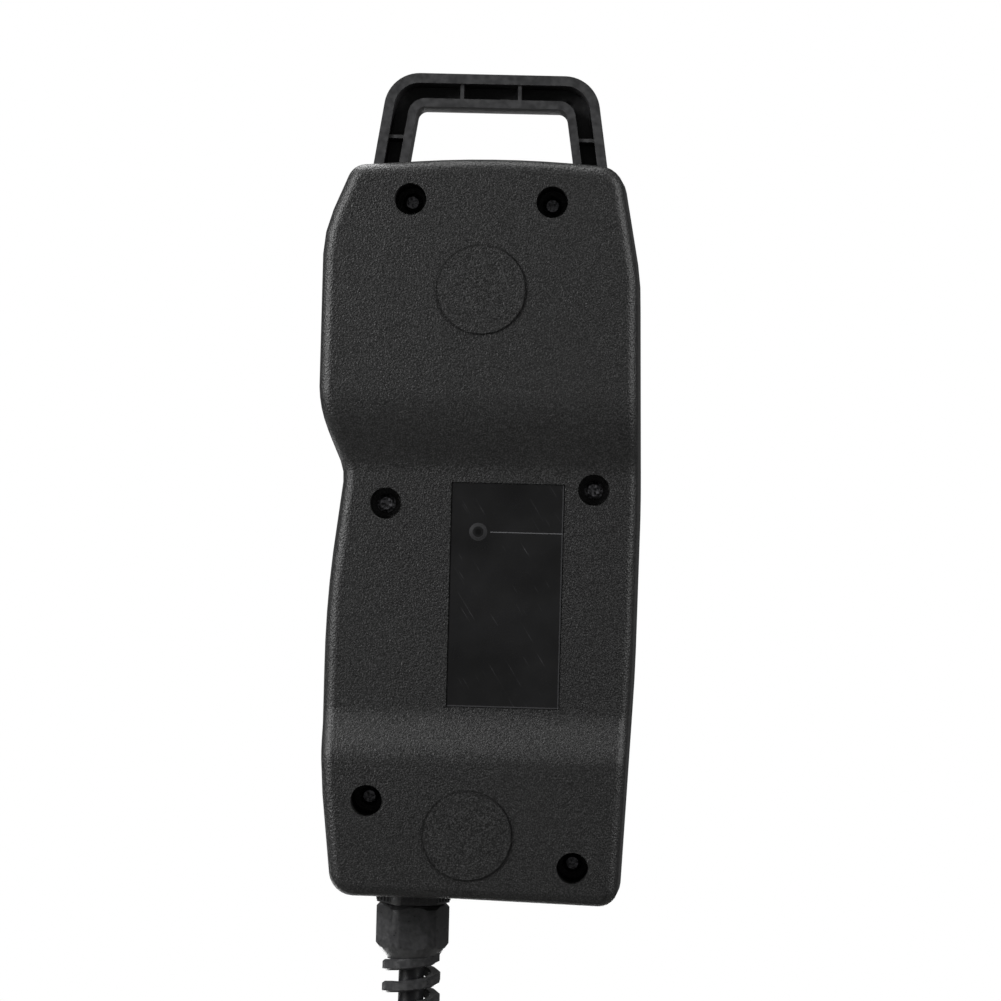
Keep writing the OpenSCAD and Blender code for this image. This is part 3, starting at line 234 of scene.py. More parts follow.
def millimetres(tree, centre=(0.0, 0.0, 0.0)):
    """Object coordinates in millimetres from a centre."""
    place = add(tree, "ShaderNodeTexCoord")
    return add(
        tree,
        "ShaderNodeMapping",
        {
            "Vector": place.outputs["Object"],
            "Scale": (1000.0, 1000.0, 1000.0),
            "Location": [-1000.0 * c for c in centre],
        },
    ).outputs[0]


def grain(tree, shader, coords, per_mm, depth_mm, strength, detail=2.0):
    """Fine relief from noise of so many bumps per millimetre and that depth; returns the noise."""
    noise = add(
        tree,
        "ShaderNodeTexNoise",
        {"Vector": coords, "Scale": per_mm, "Detail": detail, "Roughness": 0.55},
    )
    relief = add(
        tree,
        "ShaderNodeBump",
        {"Height": noise.outputs["Fac"], "Strength": strength, "Distance": depth_mm / 1000.0},
    )
    tree.links.new(relief.outputs[0], shader.inputs["Normal"])
    return noise


def shade_between(tree, shader, factor, dark, light, low_stop=0.35, high_stop=0.65):
    """Base colour that runs between two tones as a pattern's value does."""
    ramp = add(tree, "ShaderNodeValToRGB", {"Fac": factor})
    first, second = ramp.color_ramp.elements
    first.position, first.color = low_stop, colour(dark)
    second.position, second.color = high_stop, colour(light)
    tree.links.new(ramp.outputs["Color"], shader.inputs["Base Color"])


def roughness_between(tree, shader, factor, smooth, rough):
    """Roughness that runs between two values as a pattern's value does."""
    span = add(tree, "ShaderNodeMapRange", {"Value": factor, "To Min": smooth, "To Max": rough})
    tree.links.new(span.outputs[0], shader.inputs["Roughness"])


# PVC sheath, extruded: a faint waviness of about a millimetre, and a dull sheen
sheath, tree, shader = new_material("PVC cord sheath, extruded", "#17171a", 0.42)
coords = millimetres(tree)
noise = grain(tree, shader, coords, 0.9, 0.03, 0.6)
shade_between(tree, shader, noise.outputs["Fac"], "#131315", "#1d1d20")

# The turns' places in the coil, as (rise from its middle radius, place across its width): three
# on the outside, two layers of four under them, and the last, which leaves for the plug
lanes = (
    [(0.00650, y) for y in (0.0070, 0.0, -0.0070)]
    + [(0.00044, y) for y in (-0.0105, -0.0035, 0.0035, 0.0105)]
    + [(-0.00656, y) for y in (0.0105, 0.0035, -0.0035, -0.0105)]
    + [(0.0, -0.0175)]
)


def eased(t):
    """A share from 0 to 1 that starts and ends gently."""
    t = min(max(t, 0.0), 1.0)
    return t * t * (3 - 2 * t)


# A turn moves over to the next place in its last fifth; the last one leaves just past its end
change_start, change_span = 0.80, 0.20
leave_start, leave_span = 1.07, 0.13


def coil_point(turns):
    """The cord's centre after that many turns from the top of the coil."""
    index = min(int(turns), len(lanes) - 2)
    share = turns - index
    if index < len(lanes) - 2:
        step = eased((share - change_start) / change_span)
    else:
        step = eased((share - leave_start) / leave_span)
    here, there = lanes[index], lanes[index + 1]
    rise = here[0] + (there[0] - here[0]) * step
    aside = here[1] + (there[1] - here[1]) * step
    angle = math.radians(90.0) + turns * 2 * math.pi
    reach = coil_radius + rise
    return coil_middle + Vector((reach * math.cos(angle), aside, reach * math.sin(angle)))


def lead_points():
    """Straight down out of the gland, then a quarter turn into the top of the coil."""
    drop_steps = 8
    bend_steps = 12
    top = coil_point(0.0)
    bend = cord_exit[0] - top.x
    start_z = top.z + bend
    drop = start_z - cord_exit[2]
    points = [
        Vector((cord_exit[0], cord_exit[1], cord_exit[2] + drop * k / drop_steps))
        for k in range(drop_steps + 1)
    ]
    for k in range(1, bend_steps):
        a = math.radians(90.0 * k / bend_steps)
        points.append(
            Vector((top.x + bend * math.cos(a), cord_exit[1], start_z - bend * math.sin(a)))
        )
    return points


plug_mouth = Vector((-0.0555, -0.044, -0.400))
turn_count = 11.25
steps_per_turn = 28
leave_steps = 8
route = lead_points()
total_steps = int(round(turn_count * steps_per_turn))
route += [coil_point(turn_count * k / total_steps) for k in range(total_steps + 1)]
last = route[-1]
for k in range(1, leave_steps + 1):
    t = k / leave_steps
    route.append(
        Vector(
            (
                last.x + (plug_mouth.x - last.x) * eased(t),
                last.y + (plug_mouth.y - last.y) * eased(t),
                last.z + (plug_mouth.z - last.z) * t,
            )
        )
    )
cord_curve = bpy.data.curves.new("cord", "CURVE")
cord_curve.dimensions = "3D"
line = cord_curve.splines.new("POLY")
line.points.add(len(route) - 1)
for point, place in zip(line.points, route):
    point.co = (*place, 1.0)
cord_curve.bevel_depth = cord_d / 2
cord_curve.bevel_resolution = 4
cord_curve.use_fill_caps = True
cord_curve.materials.append(sheath)
cord = bpy.data.objects.new("cord", cord_curve)
scene.collection.objects.link(cord)
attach(cord, "case")
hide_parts("cord_lead", "cord_coil", "cord_end")

# Straps: each hugs the turns it holds, with its end lapped over on the outside. They sit at
# three even places round the coil, in degrees.
strap_width = 0.007
strap_thick = 0.0012
strap_slack = 0.0001
strap_places = (112.0, 232.0, 352.0)
strap_steps = 72
lap_start, lap_steps = 50, 16


def strap_loop(angle):
    """A closed band round the coil's turns at an angle round the coil, lapped at its end."""
    out = Vector((math.cos(angle), 0.0, math.sin(angle)))
    along = Vector((-math.sin(angle), 0.0, math.cos(angle)))
    middle = coil_middle + out * coil_radius

    def ring_point(step, reach):
        """A point of the band, pushed out from the turn that stands out most that way."""
        way = 2 * math.pi * step / strap_steps
        face = (math.cos(way), math.sin(way))
        rise, aside = max(lanes[:-1], key=lambda lane: lane[0] * face[0] + lane[1] * face[1])
        across = Vector((0.0, aside + reach * face[1], 0.0))
        return middle + out * (rise + reach * face[0]) + across

    # the whole band first, then the lap that lies on it
    work = bmesh.new()
    inner = cord_d / 2 + strap_slack
    for first, count, depth in (
        (0, strap_steps, inner),
        (lap_start, lap_steps, inner + strap_thick),
    ):
        closed = count == strap_steps
        rows = []
        for step in range(first, first + count + (0 if closed else 1)):
            rows.append(
                [
                    work.verts.new(ring_point(step, reach) + along * side)
                    for reach, side in (
                        (depth, -strap_width / 2),
                        (depth + strap_thick, -strap_width / 2),
                        (depth + strap_thick, strap_width / 2),
                        (depth, strap_width / 2),
                    )
                ]
            )
        pairs = list(zip(rows, rows[1:] + rows[:1])) if closed else list(zip(rows, rows[1:]))
        for here, there in pairs:
            for k in range(4):
                work.faces.new((here[k], here[(k + 1) % 4], there[(k + 1) % 4], there[k]))
        if not closed:
            work.faces.new(rows[0])
            work.faces.new(rows[-1][::-1])
    bmesh.ops.recalc_face_normals(work, faces=work.faces)
    mesh = bpy.data.meshes.new("strap")
    work.to_mesh(mesh)
    work.free()
    return mesh


strap_work = bmesh.new()
for degrees in strap_places:
    strap_work.from_mesh(strap_loop(math.radians(degrees)))
strap_mesh = bpy.data.meshes.new("coil_straps")
strap_work.to_mesh(strap_mesh)
strap_work.free()
straps = bpy.data.objects.new("coil_straps", strap_mesh)
scene.collection.objects.link(straps)
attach(straps, "case")
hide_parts("cord_ties")


def dress(finish, *names):
    """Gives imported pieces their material."""
    for name in names:
        nodes[name].data.materials[0] = finish


# Woven nylon tape, with its hooks and loops as a fuzzy dull face. The ribs of the weave run
# at a slant, 0.4 mm apart, about as close as real ones.
webbing, tree, shader = new_material("nylon strap, woven", "#232326", 0.85)
coords = millimetres(tree)
weave = add(
    tree,
    "ShaderNodeTexWave",
    {"Vector": coords, "Scale": 0.9, "Distortion": 1.5, "Detail": 1.0},
    wave_type="BANDS",
    bands_direction="DIAGONAL",
)
fuzz = add(tree, "ShaderNodeTexNoise", {"Vector": coords, "Scale": 3.0, "Detail": 3.0})
both = add(
    tree, "ShaderNodeMath", {0: weave.outputs["Fac"], 1: fuzz.outputs["Fac"]}, operation="ADD"
)
relief = add(
    tree, "ShaderNodeBump", {"Height": both.outputs[0], "Strength": 0.7, "Distance": 0.0002}
)
tree.links.new(relief.outputs[0], shader.inputs["Normal"])
shade_between(tree, shader, fuzz.outputs["Fac"], "#1a1a1c", "#2e2e32")
strap_mesh.materials.append(webbing)

# Plug: nickel-plated brass, turned. The plating is bright, with faint tool rings 0.24 mm
# apart, as a finishing cut leaves them, and with rub marks.
nickel, tree, shader = new_material("nickel-plated brass, turned", "#b9bab4", 0.28, metallic=1.0)
coords = millimetres(tree)
rings = add(
    tree,
    "ShaderNodeTexWave",
    {"Vector": coords, "Scale": 1.3, "Distortion": 0.3},
    wave_type="BANDS",
    bands_direction="Z",
)
relief = add(
    tree, "ShaderNodeBump", {"Height": rings.outputs["Fac"], "Strength": 0.25, "Distance": 0.00003}
)
tree.links.new(relief.outputs[0], shader.inputs["Normal"])
rubs = add(tree, "ShaderNodeTexNoise", {"Vector": coords, "Scale": 0.35, "Detail": 4.0})
roughness_between(tree, shader, rubs.outputs["Fac"], 0.2, 0.42)
shade_between(tree, shader, rubs.outputs["Fac"], "#a6a79f", "#c6c7c1")
dress(nickel, "plug_shell", "plug_ring")

# ------------------------------------------------------------------ gland
# Cable gland in black nylon 6: a body screwed into the case's bottom with a gasket and a lock
# nut, and a dome nut moulded in one with the open spiral that keeps the lead from kinking.
# Injection moulded and left glossy, so its edges catch the light.
nylon, tree, shader = new_material("nylon 6, moulded glossy", "#151517", 0.3, ior=1.53)
coords = millimetres(tree)
grain(tree, shader, coords, 0.35, 0.05, 0.35, detail=1.0)
mottle = add(tree, "ShaderNodeTexNoise", {"Vector": coords, "Scale": 0.8, "Detail": 3.0})
roughness_between(tree, shader, mottle.outputs["Fac"], 0.2, 0.44)
shade_between(tree, shader, mottle.outputs["Fac"], "#2f2f30", "#414142")


def merged_copy(node, name, sharp_degrees, round_mm=0.0):
    """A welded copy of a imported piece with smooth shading, and rounded edges where asked."""
    weld = 2e-6
    flat = math.radians(0.4)
    work = bmesh.new()
    work.from_mesh(nodes[node].data)
    bmesh.ops.remove_doubles(work, verts=work.verts, dist=weld)
    bmesh.ops.dissolve_limit(work, angle_limit=flat, verts=work.verts, edges=work.edges)
    mesh = bpy.data.meshes.new(name)
    work.to_mesh(mesh)
    work.free()
    for layer in [a.name for a in mesh.attributes if a.name in ("custom_normal", "sharp_face")]:
        mesh.attributes.remove(mesh.attributes[layer])
    mesh.shade_smooth()
    mesh.set_sharp_from_angle(angle=math.radians(sharp_degrees))
    made = bpy.data.objects.new(name, mesh)
    scene.collection.objects.link(made)
    if round_mm:
        rounding = made.modifiers.new("rounded_edges", "BEVEL")
        rounding.width = round_mm / 1000
        rounding.segments = 2
        rounding.limit_method = "ANGLE"
        rounding.angle_limit = math.radians(sharp_degrees)
        rounding.use_clamp_overlap = True
        rounding.harden_normals = False
    weighting = made.modifiers.new("even_shading", "WEIGHTED_NORMAL")
    weighting.keep_sharp = True
    weighting.weight = 80
    plain = bpy.data.meshes.new_from_object(
        made.evaluated_get(bpy.context.evaluated_depsgraph_get())
    )
    made.modifiers.clear()
    made.data = plain
    plain.name = name
    plain.materials.clear()
    return made


def stands_for(piece, node, finish):
    """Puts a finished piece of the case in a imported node's place."""
    piece.data.materials.append(finish)
    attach(piece, "case")
    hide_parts(node)


dome = merged_copy("dome_nut", "dome_nut_and_spiral", 38)
stands_for(dome, "dome_nut", nylon)
dress(nylon, "gland_body")

# Nitrile rubber of the gaskets and seals: a dull, nearly black face with a fine tooth
nitrile, tree, shader = new_material("nitrile rubber, moulded", "#131314", 0.62, ior=1.52)
coords = millimetres(tree)
noise = grain(tree, shader, coords, 1.6, 0.02, 0.5)
shade_between(tree, shader, noise.outputs["Fac"], "#101011", "#19191a")
dress(nitrile, "gland_fittings", "case_seal", "stop_gasket")

# ------------------------------------------------------------------ case
# Two shells of black ABS, moulded against spark-textured steel, so every outer face has an even
# pebbled grain that breaks the light into fine specks. The back has a hand recess, two round
# magnet pads and six screw wells; the front carries the panel.
abs_grain, tree, shader = new_material("ABS, spark-textured", "#2f2f30", 0.58)
coords = millimetres(tree)
# the real grain is 0.2 to 0.3 mm wide; its pebbles are drawn 0.5 mm wide so that they show
pebbles_per_mm = 1.9
specks_per_mm = 2.8
pebbles = add(
    tree,
    "ShaderNodeTexVoronoi",
    {"Vector": coords, "Scale": pebbles_per_mm, "Smoothness": 0.6},
    feature="SMOOTH_F1",
)
fine = add(
    tree,
    "ShaderNodeTexNoise",
    {"Vector": coords, "Scale": specks_per_mm, "Detail": 2.0, "Roughness": 0.6},
)
mixed = add(
    tree,
    "ShaderNodeMath",
    {0: pebbles.outputs["Distance"], 1: fine.outputs["Fac"]},
    operation="ADD",
)
relief = add(
    tree, "ShaderNodeBump", {"Height": mixed.outputs[0], "Strength": 1.0, "Distance": 0.00011}
)
tree.links.new(relief.outputs[0], shader.inputs["Normal"])
# painted shade lies in the step round each raised pad, as a dark line 0.6 mm wide in the ABS's
# colour
pad_radius_mm = 11.85
step_mm = 0.3
pad_foot_y = 0.0115
grain_and_painted_shade = fine.outputs["Fac"]
for pad_z in (-0.0489, -0.1937):
    pad_coords = millimetres(tree, centre=(0.0, pad_foot_y, pad_z))
    from_pad = add(tree, "ShaderNodeVectorMath", {0: pad_coords}, operation="LENGTH")
    in_step = add(
        tree,
        "ShaderNodeMath",
        {0: from_pad.outputs["Value"], 1: pad_radius_mm, 2: step_mm},
        operation="COMPARE",
    )
    grain_and_painted_shade = add(
        tree,
        "ShaderNodeMath",
        {0: in_step.outputs[0], 1: -0.25, 2: grain_and_painted_shade},
        operation="MULTIPLY_ADD",
    ).outputs[0]
# the grain's tone, darkened by the painted shade in the pads' steps
shade_between(tree, shader, grain_and_painted_shade, "#080808", "#3c3c3c", 0.44, 0.74)
roughness_between(tree, shader, fine.outputs["Fac"], 0.38, 0.5)

rear = merged_copy("rear_case", "rear_shell", 32)
stands_for(rear, "rear_case", abs_grain)
front = merged_copy("front_case", "front_shell", 32)
stands_for(front, "front_case", abs_grain)

# ------------------------------------------------------------------ hanging loop
# U-section loop in smooth black ABS, slipped between the shells and clamped by the two top
# screws. Its channel opens to the back and is crossed by thin ribs; edges are softly broken.
abs_smooth, tree, shader = new_material("ABS, moulded smooth", "#1c1c1e", 0.42)
coords = millimetres(tree)
grain(tree, shader, coords, 0.5, 0.04, 0.3)
mottle = add(tree, "ShaderNodeTexNoise", {"Vector": coords, "Scale": 0.6, "Detail": 4.0})
roughness_between(tree, shader, mottle.outputs["Fac"], 0.34, 0.55)
shade_between(tree, shader, mottle.outputs["Fac"], "#252526", "#363637")
loop = merged_copy("hanging_loop", "loop", 30, round_mm=0.35)
stands_for(loop, "hanging_loop", abs_smooth)

# ------------------------------------------------------------------ screws
# Pan-head screws, cross recess, black oxide on steel: dark, with bright rubbed edges where the
# driver has slipped.
oxide, tree, shader = new_material("steel screw, black oxide", "#3a3a3d", 0.38, metallic=0.9)
coords = millimetres(tree)
rubs = add(tree, "ShaderNodeTexNoise", {"Vector": coords, "Scale": 1.4, "Detail": 4.0})
shade_between(tree, shader, rubs.outputs["Fac"], "#434345", "#a6a6aa", 0.4, 0.66)
roughness_between(tree, shader, rubs.outputs["Fac"], 0.25, 0.5)
dress(oxide, "case_screws")

# ------------------------------------------------------------------ label
# Bare identification label: black polyester film in its pocket, satin, with one fine rule, a
# small round plug with a dark middle, faint wrinkles and a few rubbed scratches.
label_low, label_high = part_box("rear_label")
plug_place = (label_high.x - 0.0072, label_high.z - 0.0129)
# the plug's rim and dark middle, the rule and the painted highlight on the cut edge, in
# millimetres from the plug
rim_reach, rim_half = 1.9, 0.5
hole_radius = 0.8
rule_start, rule_half = -3.2, 0.12
edge_half = 0.35
label_film, tree, shader = new_material("polyester label film, satin", "#0c0c0d", 0.34)
coords = millimetres(tree, centre=(plug_place[0], 0.0, plug_place[1]))
axes = add(tree, "ShaderNodeSeparateXYZ", {0: coords})
flat_place = add(
    tree, "ShaderNodeCombineXYZ", {"X": axes.outputs["X"], "Z": axes.outputs["Z"]}
)
reach = add(tree, "ShaderNodeVectorMath", {0: flat_place.outputs[0]}, operation="LENGTH")
plug_rim = add(
    tree,
    "ShaderNodeMath",
    {0: reach.outputs["Value"], 1: rim_reach, 2: rim_half},
    operation="COMPARE",
)
plug_hole = add(
    tree, "ShaderNodeMath", {0: reach.outputs["Value"], 1: hole_radius}, operation="LESS_THAN"
)
# the rule runs from the plug to the label's far side
on_line = add(
    tree, "ShaderNodeMath", {0: axes.outputs["Z"], 1: 0.0, 2: rule_half}, operation="COMPARE"
)
past_plug = add(
    tree, "ShaderNodeMath", {0: axes.outputs["X"], 1: rule_start}, operation="LESS_THAN"
)
rule = add(
    tree, "ShaderNodeMath", {0: on_line.outputs[0], 1: past_plug.outputs[0]}, operation="MULTIPLY"
)
# scratches: the crests of a noise drawn out at a slant, which come out 0.2 mm wide, wider than
# real ones so that they show, and lie in worn patches only
streak_slant, streak_width, streak_length = 32.0, 0.45, 13.0
slant = add(
    tree,
    "ShaderNodeMapping",
    {
        "Vector": coords,
        "Rotation": (0.0, math.radians(streak_slant), 0.0),
        "Scale": (streak_width, 1.0, streak_length),
    },
    vector_type="TEXTURE",
)
streaks = add(
    tree, "ShaderNodeTexNoise", {"Vector": slant.outputs[0], "Scale": 1.0, "Detail": 2.0}
)
worn = add(tree, "ShaderNodeTexNoise", {"Vector": coords, "Scale": 0.10, "Detail": 3.0})
streak_share = add(
    tree,
    "ShaderNodeMapRange",
    {"Value": streaks.outputs["Fac"], "From Min": 0.67, "From Max": 0.79},
)
worn_share = add(
    tree,
    "ShaderNodeMapRange",
    {"Value": worn.outputs["Fac"], "From Min": 0.48, "From Max": 0.62},
)
scratch = add(
    tree,
    "ShaderNodeMath",
    {0: streak_share.outputs[0], 1: worn_share.outputs[0]},
    operation="MULTIPLY",
)
# a painted highlight on the film's cut edge: a paler line, 0.35 mm wide, on its far side and its
# foot
far_edge_painted_highlight = add(
    tree,
    "ShaderNodeMath",
    {0: axes.outputs["X"], 1: 1000 * (label_low.x - plug_place[0]), 2: edge_half},
    operation="COMPARE",
)
foot_edge_painted_highlight = add(
    tree,
    "ShaderNodeMath",
    {0: axes.outputs["Z"], 1: 1000 * (label_low.z - plug_place[1]), 2: edge_half},
    operation="COMPARE",
)
waves = add(tree, "ShaderNodeTexNoise", {"Vector": coords, "Scale": 0.08, "Detail": 2.0})
tone = add(tree, "ShaderNodeMath", {0: waves.outputs["Fac"], 1: 0.12}, operation="MULTIPLY")
# each mark lifts the film's tone by its own share, and the plug's dark middle takes it away
marks = (
    (rule, 0.9),
    (plug_rim, 0.20),
    (scratch, 0.42),
    (far_edge_painted_highlight, 0.35),
    (foot_edge_painted_highlight, 0.3),
    (plug_hole, -1.0),
)
for mark, weight in marks:
    tone = add(
        tree,
        "ShaderNodeMath",
        {0: mark.outputs[0], 1: weight, 2: tone.outputs[0]},
        operation="MULTIPLY_ADD",
        use_clamp=True,
    )
shade_between(tree, shader, tone.outputs[0], "#030303", "#5a5a5c", 0.0, 1.0)
relief = add(
    tree, "ShaderNodeBump", {"Height": waves.outputs["Fac"], "Strength": 0.6, "Distance": 0.0009}
)
tree.links.new(relief.outputs[0], shader.inputs["Normal"])
roughness_between(tree, shader, worn.outputs["Fac"], 0.22, 0.36)
dress(label_film, "rear_label")

# ------------------------------------------------------------------ panel film
# Printed polycarbonate film, stuck into the front's shallow pocket. It is satin black with a
# hair-fine matt tooth, and its white scales are screen-printed round the knobs and the wheel.
panel_film, tree, shader = new_material("polycarbonate film, satin", "#101012", 0.4, ior=1.58)
coords = millimetres(tree)
noise = grain(tree, shader, coords, 2.2, 0.01, 0.4)
shade_between(tree, shader, noise.outputs["Fac"], "#0e0e10", "#151517")
dress(panel_film, "front_film")

# white ink, screen-printed: dense matt marks that stand 0.03 mm proud of the film
ink_white, tree, shader = new_material("screen-printed ink, white", "#d8d8d4", 0.5)
coords = millimetres(tree)
noise = grain(tree, shader, coords, 4.0, 0.004, 0.3)
shade_between(tree, shader, noise.outputs["Fac"], "#cfcfca", "#e2e2de")
ink_t = 0.00003
axis_low, axis_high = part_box("axis_knob")
step_low, step_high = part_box("multiplier_knob")
wheel_low, wheel_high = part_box("handwheel")
film_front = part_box("front_film")[0].y
knob_r = (axis_high.x - axis_low.x) / 2


def lettering(body, height):
    """A word or number as a mesh lying in XZ, facing -Y, centred on its middle."""
    size_for_height = 1.4
    curve = bpy.data.curves.new("letters", "FONT")
    curve.body = body
    curve.size = height * size_for_height
    curve.align_x, curve.align_y = "CENTER", "CENTER"
    curve.extrude = ink_t / 2
    curve.resolution_u = 3
    holder = bpy.data.objects.new("letters", curve)
    scene.collection.objects.link(holder)
    mesh = bpy.data.meshes.new_from_object(
        holder.evaluated_get(bpy.context.evaluated_depsgraph_get())
    )
    bpy.data.objects.remove(holder)
    mesh.transform(Matrix.Rotation(math.radians(90.0), 4, "X"))
    return mesh


def bar(width, depth, height):
    """A closed bar with its middle at the origin."""
    mesh = bpy.data.meshes.new("bar")
    work = bmesh.new()
    bmesh.ops.create_cube(work, size=1.0)
    bmesh.ops.scale(work, vec=(width, depth, height), verts=work.verts)
    work.to_mesh(mesh)
    work.free()
    return mesh


def gathered(name, parts, finish, body):
    """One object from meshes and their places, riding on a body."""
    work = bmesh.new()
    for mesh, place in parts:
        moved = mesh.copy()
        moved.transform(place)
        work.from_mesh(moved)
    whole = bpy.data.meshes.new(name)
    work.to_mesh(whole)
    work.free()
    whole.materials.clear()
    whole.materials.append(finish)
    made = bpy.data.objects.new(name, whole)
    scene.collection.objects.link(made)
    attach(made, body)
    return made


def about(x, y, z, degrees, reach):
    """Moves a mark to a reach from a dial's axis, so many degrees clockwise from the top."""
    a = math.radians(degrees)
    return Matrix.Translation((x + reach * math.sin(a), y, z + reach * math.cos(a)))


print_y = film_front - ink_t / 2
step_degrees = 30
word_height = 0.0019
word_reach = knob_r + 0.0042
mark_reach = knob_r + 0.0012
mark_width, mark_height = 0.0004, 0.0012
index_rise = 0.0330
index_width, index_height = 0.0006, 0.0022
parts = []
for (knob_low, knob_high), words, first in (
    ((axis_low, axis_high), ("OFF", "X", "Y", "Z", "4"), -60),
    ((step_low, step_high), ("X1", "X10", "X100"), -30),
):
    x, z = (knob_low.x + knob_high.x) / 2, (knob_low.z + knob_high.z) / 2
    for k, word in enumerate(words):
        turn_by = first + step_degrees * k
        upright = Matrix.Rotation(math.radians(turn_by), 4, "Y")
        word_place = about(x, print_y, z, turn_by, word_reach)
        mark_place = about(x, print_y, z, turn_by, mark_reach) @ upright
        parts.append((lettering(word, word_height), word_place))
        parts.append((bar(mark_width, ink_t, mark_height), mark_place))
wheel_x, wheel_z = (wheel_low.x + wheel_high.x) / 2, (wheel_low.z + wheel_high.z) / 2
index_place = Matrix.Translation((wheel_x, print_y, wheel_z + index_rise))
parts.append((bar(index_width, ink_t, index_height), index_place))
gathered("panel_print", parts, ink_white, "case")

# ------------------------------------------------------------------ pulse generator
# The generator hangs behind the panel: a turned aluminium housing, a ball bearing and steel
# shaft, a brass hub with its code disc and detent wheel, and a sensor board.

# Turned aluminium: bright, and dulled in patches, so that its reflections break up softly
turned, tree, shader = new_material("aluminium, turned", "#a9abad", 0.34, metallic=1.0)
coords = millimetres(tree)
rubs = add(tree, "ShaderNodeTexNoise", {"Vector": coords, "Scale": 1.2, "Detail": 4.0})
roughness_between(tree, shader, rubs.outputs["Fac"], 0.26, 0.45)
shade_between(tree, shader, rubs.outputs["Fac"], "#8f9194", "#b4b6b8")
dress(turned, "generator_housing")

# Ground steel: brighter and sharper than the aluminium, with faint rubbed patches
steel, tree, shader = new_material("steel, ground", "#a8aaad", 0.25, metallic=1.0)
coords = millimetres(tree)
rubs = add(tree, "ShaderNodeTexNoise", {"Vector": coords, "Scale": 2.0, "Detail": 3.0})
roughness_between(tree, shader, rubs.outputs["Fac"], 0.18, 0.36)
shade_between(tree, shader, rubs.outputs["Fac"], "#97999c", "#b9bbbe")
dress(
    steel, "bearing_outer_ring", "bearing_inner_ring", "bearing_balls", "wheel_shaft",
    "detent_wheel", "detent_spring", "generator_screws", "axis_nut", "multiplier_nut",
    "axis_rotor", "multiplier_rotor", "crank_axle", "stop_spring", "upper_magnet",
    "lower_magnet", "junction_screws",
)

# Turned brass: yellow against the steel, and browner where it has dulled
brass, tree, shader = new_material("brass, turned", "#c3a055", 0.3, metallic=1.0)
coords = millimetres(tree)
rubs = add(tree, "ShaderNodeTexNoise", {"Vector": coords, "Scale": 1.5, "Detail": 3.0})
roughness_between(tree, shader, rubs.outputs["Fac"], 0.2, 0.42)
shade_between(tree, shader, rubs.outputs["Fac"], "#a98744", "#cfae66")
dress(brass, "code_hub", "switch_terminals")

# Coated glass of the code disc: a dark blue-grey with a clean shine
disc_glass, tree, shader = new_material("coated glass disc", "#3d4a52", 0.1, ior=1.52)
coords = millimetres(tree)
grain(tree, shader, coords, 3.0, 0.005, 0.2)
dress(disc_glass, "code_disc")

# Boards under their solder mask: green, with the glass weave as a slight unevenness
mask_green, tree, shader = new_material("glass-epoxy board, solder mask", "#1c5438", 0.38)
coords = millimetres(tree)
noise = grain(tree, shader, coords, 1.2, 0.02, 0.5)
shade_between(tree, shader, noise.outputs["Fac"], "#184a31", "#236243")
dress(mask_green, "sensor_board", "junction_board")

# PBT of the covers, switches and terminals: moulded and dull, with a low grain
pbt, tree, shader = new_material("PBT, moulded", "#232325", 0.5, ior=1.55)
coords = millimetres(tree)
noise = grain(tree, shader, coords, 1.2, 0.02, 0.4)
shade_between(tree, shader, noise.outputs["Fac"], "#1d1d1f", "#2a2a2d")
dress(
    pbt, "generator_cover", "generator_terminals", "forked_sensor", "axis_switch",
    "multiplier_switch", "stop_nut", "stop_stem", "stop_contact_block", "junction_terminals",
)

# PVC of the wires: red-brown, with the soft sheen of an extruded skin
wires, tree, shader = new_material("PVC wire, extruded", "#7d2a26", 0.45)
coords = millimetres(tree)
noise = grain(tree, shader, coords, 1.0, 0.02, 0.4)
shade_between(tree, shader, noise.outputs["Fac"], "#6d2320", "#8d312c")
dress(wires, "wire_loom")

# ------------------------------------------------------------------ handwheel
# Die-cast aluminium wheel, turned and black anodised, with finger flutes round its rim, a satin
# dial ring of a hundred divisions in its bevel, and a crank knob that turns on its own axle.

# Black anodised aluminium: a dark metal sheen, with the rings of turning drawn 0.4 mm apart,
# twice the real spacing, so that they show as fine arcs
anodised, tree, shader = new_material("aluminium, black anodised", "#242426", 0.36, metallic=0.7)
coords = millimetres(tree, centre=(wheel_x, 0.0, wheel_z))
rings = add(
    tree,
    "ShaderNodeTexWave",
    {"Vector": coords, "Scale": 0.8, "Distortion": 0.4, "Detail": 1.0},
    wave_type="RINGS",
    rings_direction="Y",
)
relief = add(
    tree, "ShaderNodeBump", {"Height": rings.outputs["Fac"], "Strength": 0.3, "Distance": 0.00003}
)
tree.links.new(relief.outputs[0], shader.inputs["Normal"])
mottle = add(tree, "ShaderNodeTexNoise", {"Vector": coords, "Scale": 1.8, "Detail": 3.0})
shade_between(tree, shader, mottle.outputs["Fac"], "#1d1d1f", "#2c2c2f")
roughness_between(tree, shader, mottle.outputs["Fac"], 0.3, 0.44)
dress(anodised, "handwheel")

# The dial ring and the centre cap: turned with concentric lines 0.3 mm apart, then clear
# anodised, so that they shine in a fan across the rings
lined, tree, shader = new_material(
    "aluminium, turned and clear anodised", "#bcbec0", 0.36, metallic=1.0
)
coords = millimetres(tree, centre=(wheel_x, 0.0, wheel_z))
rings = add(
    tree,
    "ShaderNodeTexWave",
    {"Vector": coords, "Scale": 1.1, "Distortion": 0.3, "Detail": 1.0},
    wave_type="RINGS",
    rings_direction="Y",
)
relief = add(
    tree, "ShaderNodeBump", {"Height": rings.outputs["Fac"], "Strength": 0.35, "Distance": 0.00003}
)
tree.links.new(relief.outputs[0], shader.inputs["Normal"])
shade_between(tree, shader, rings.outputs["Fac"], "#adafb2", "#c9cbcd", 0.2, 0.8)
dress(lined, "dial_ring", "wheel_cap")

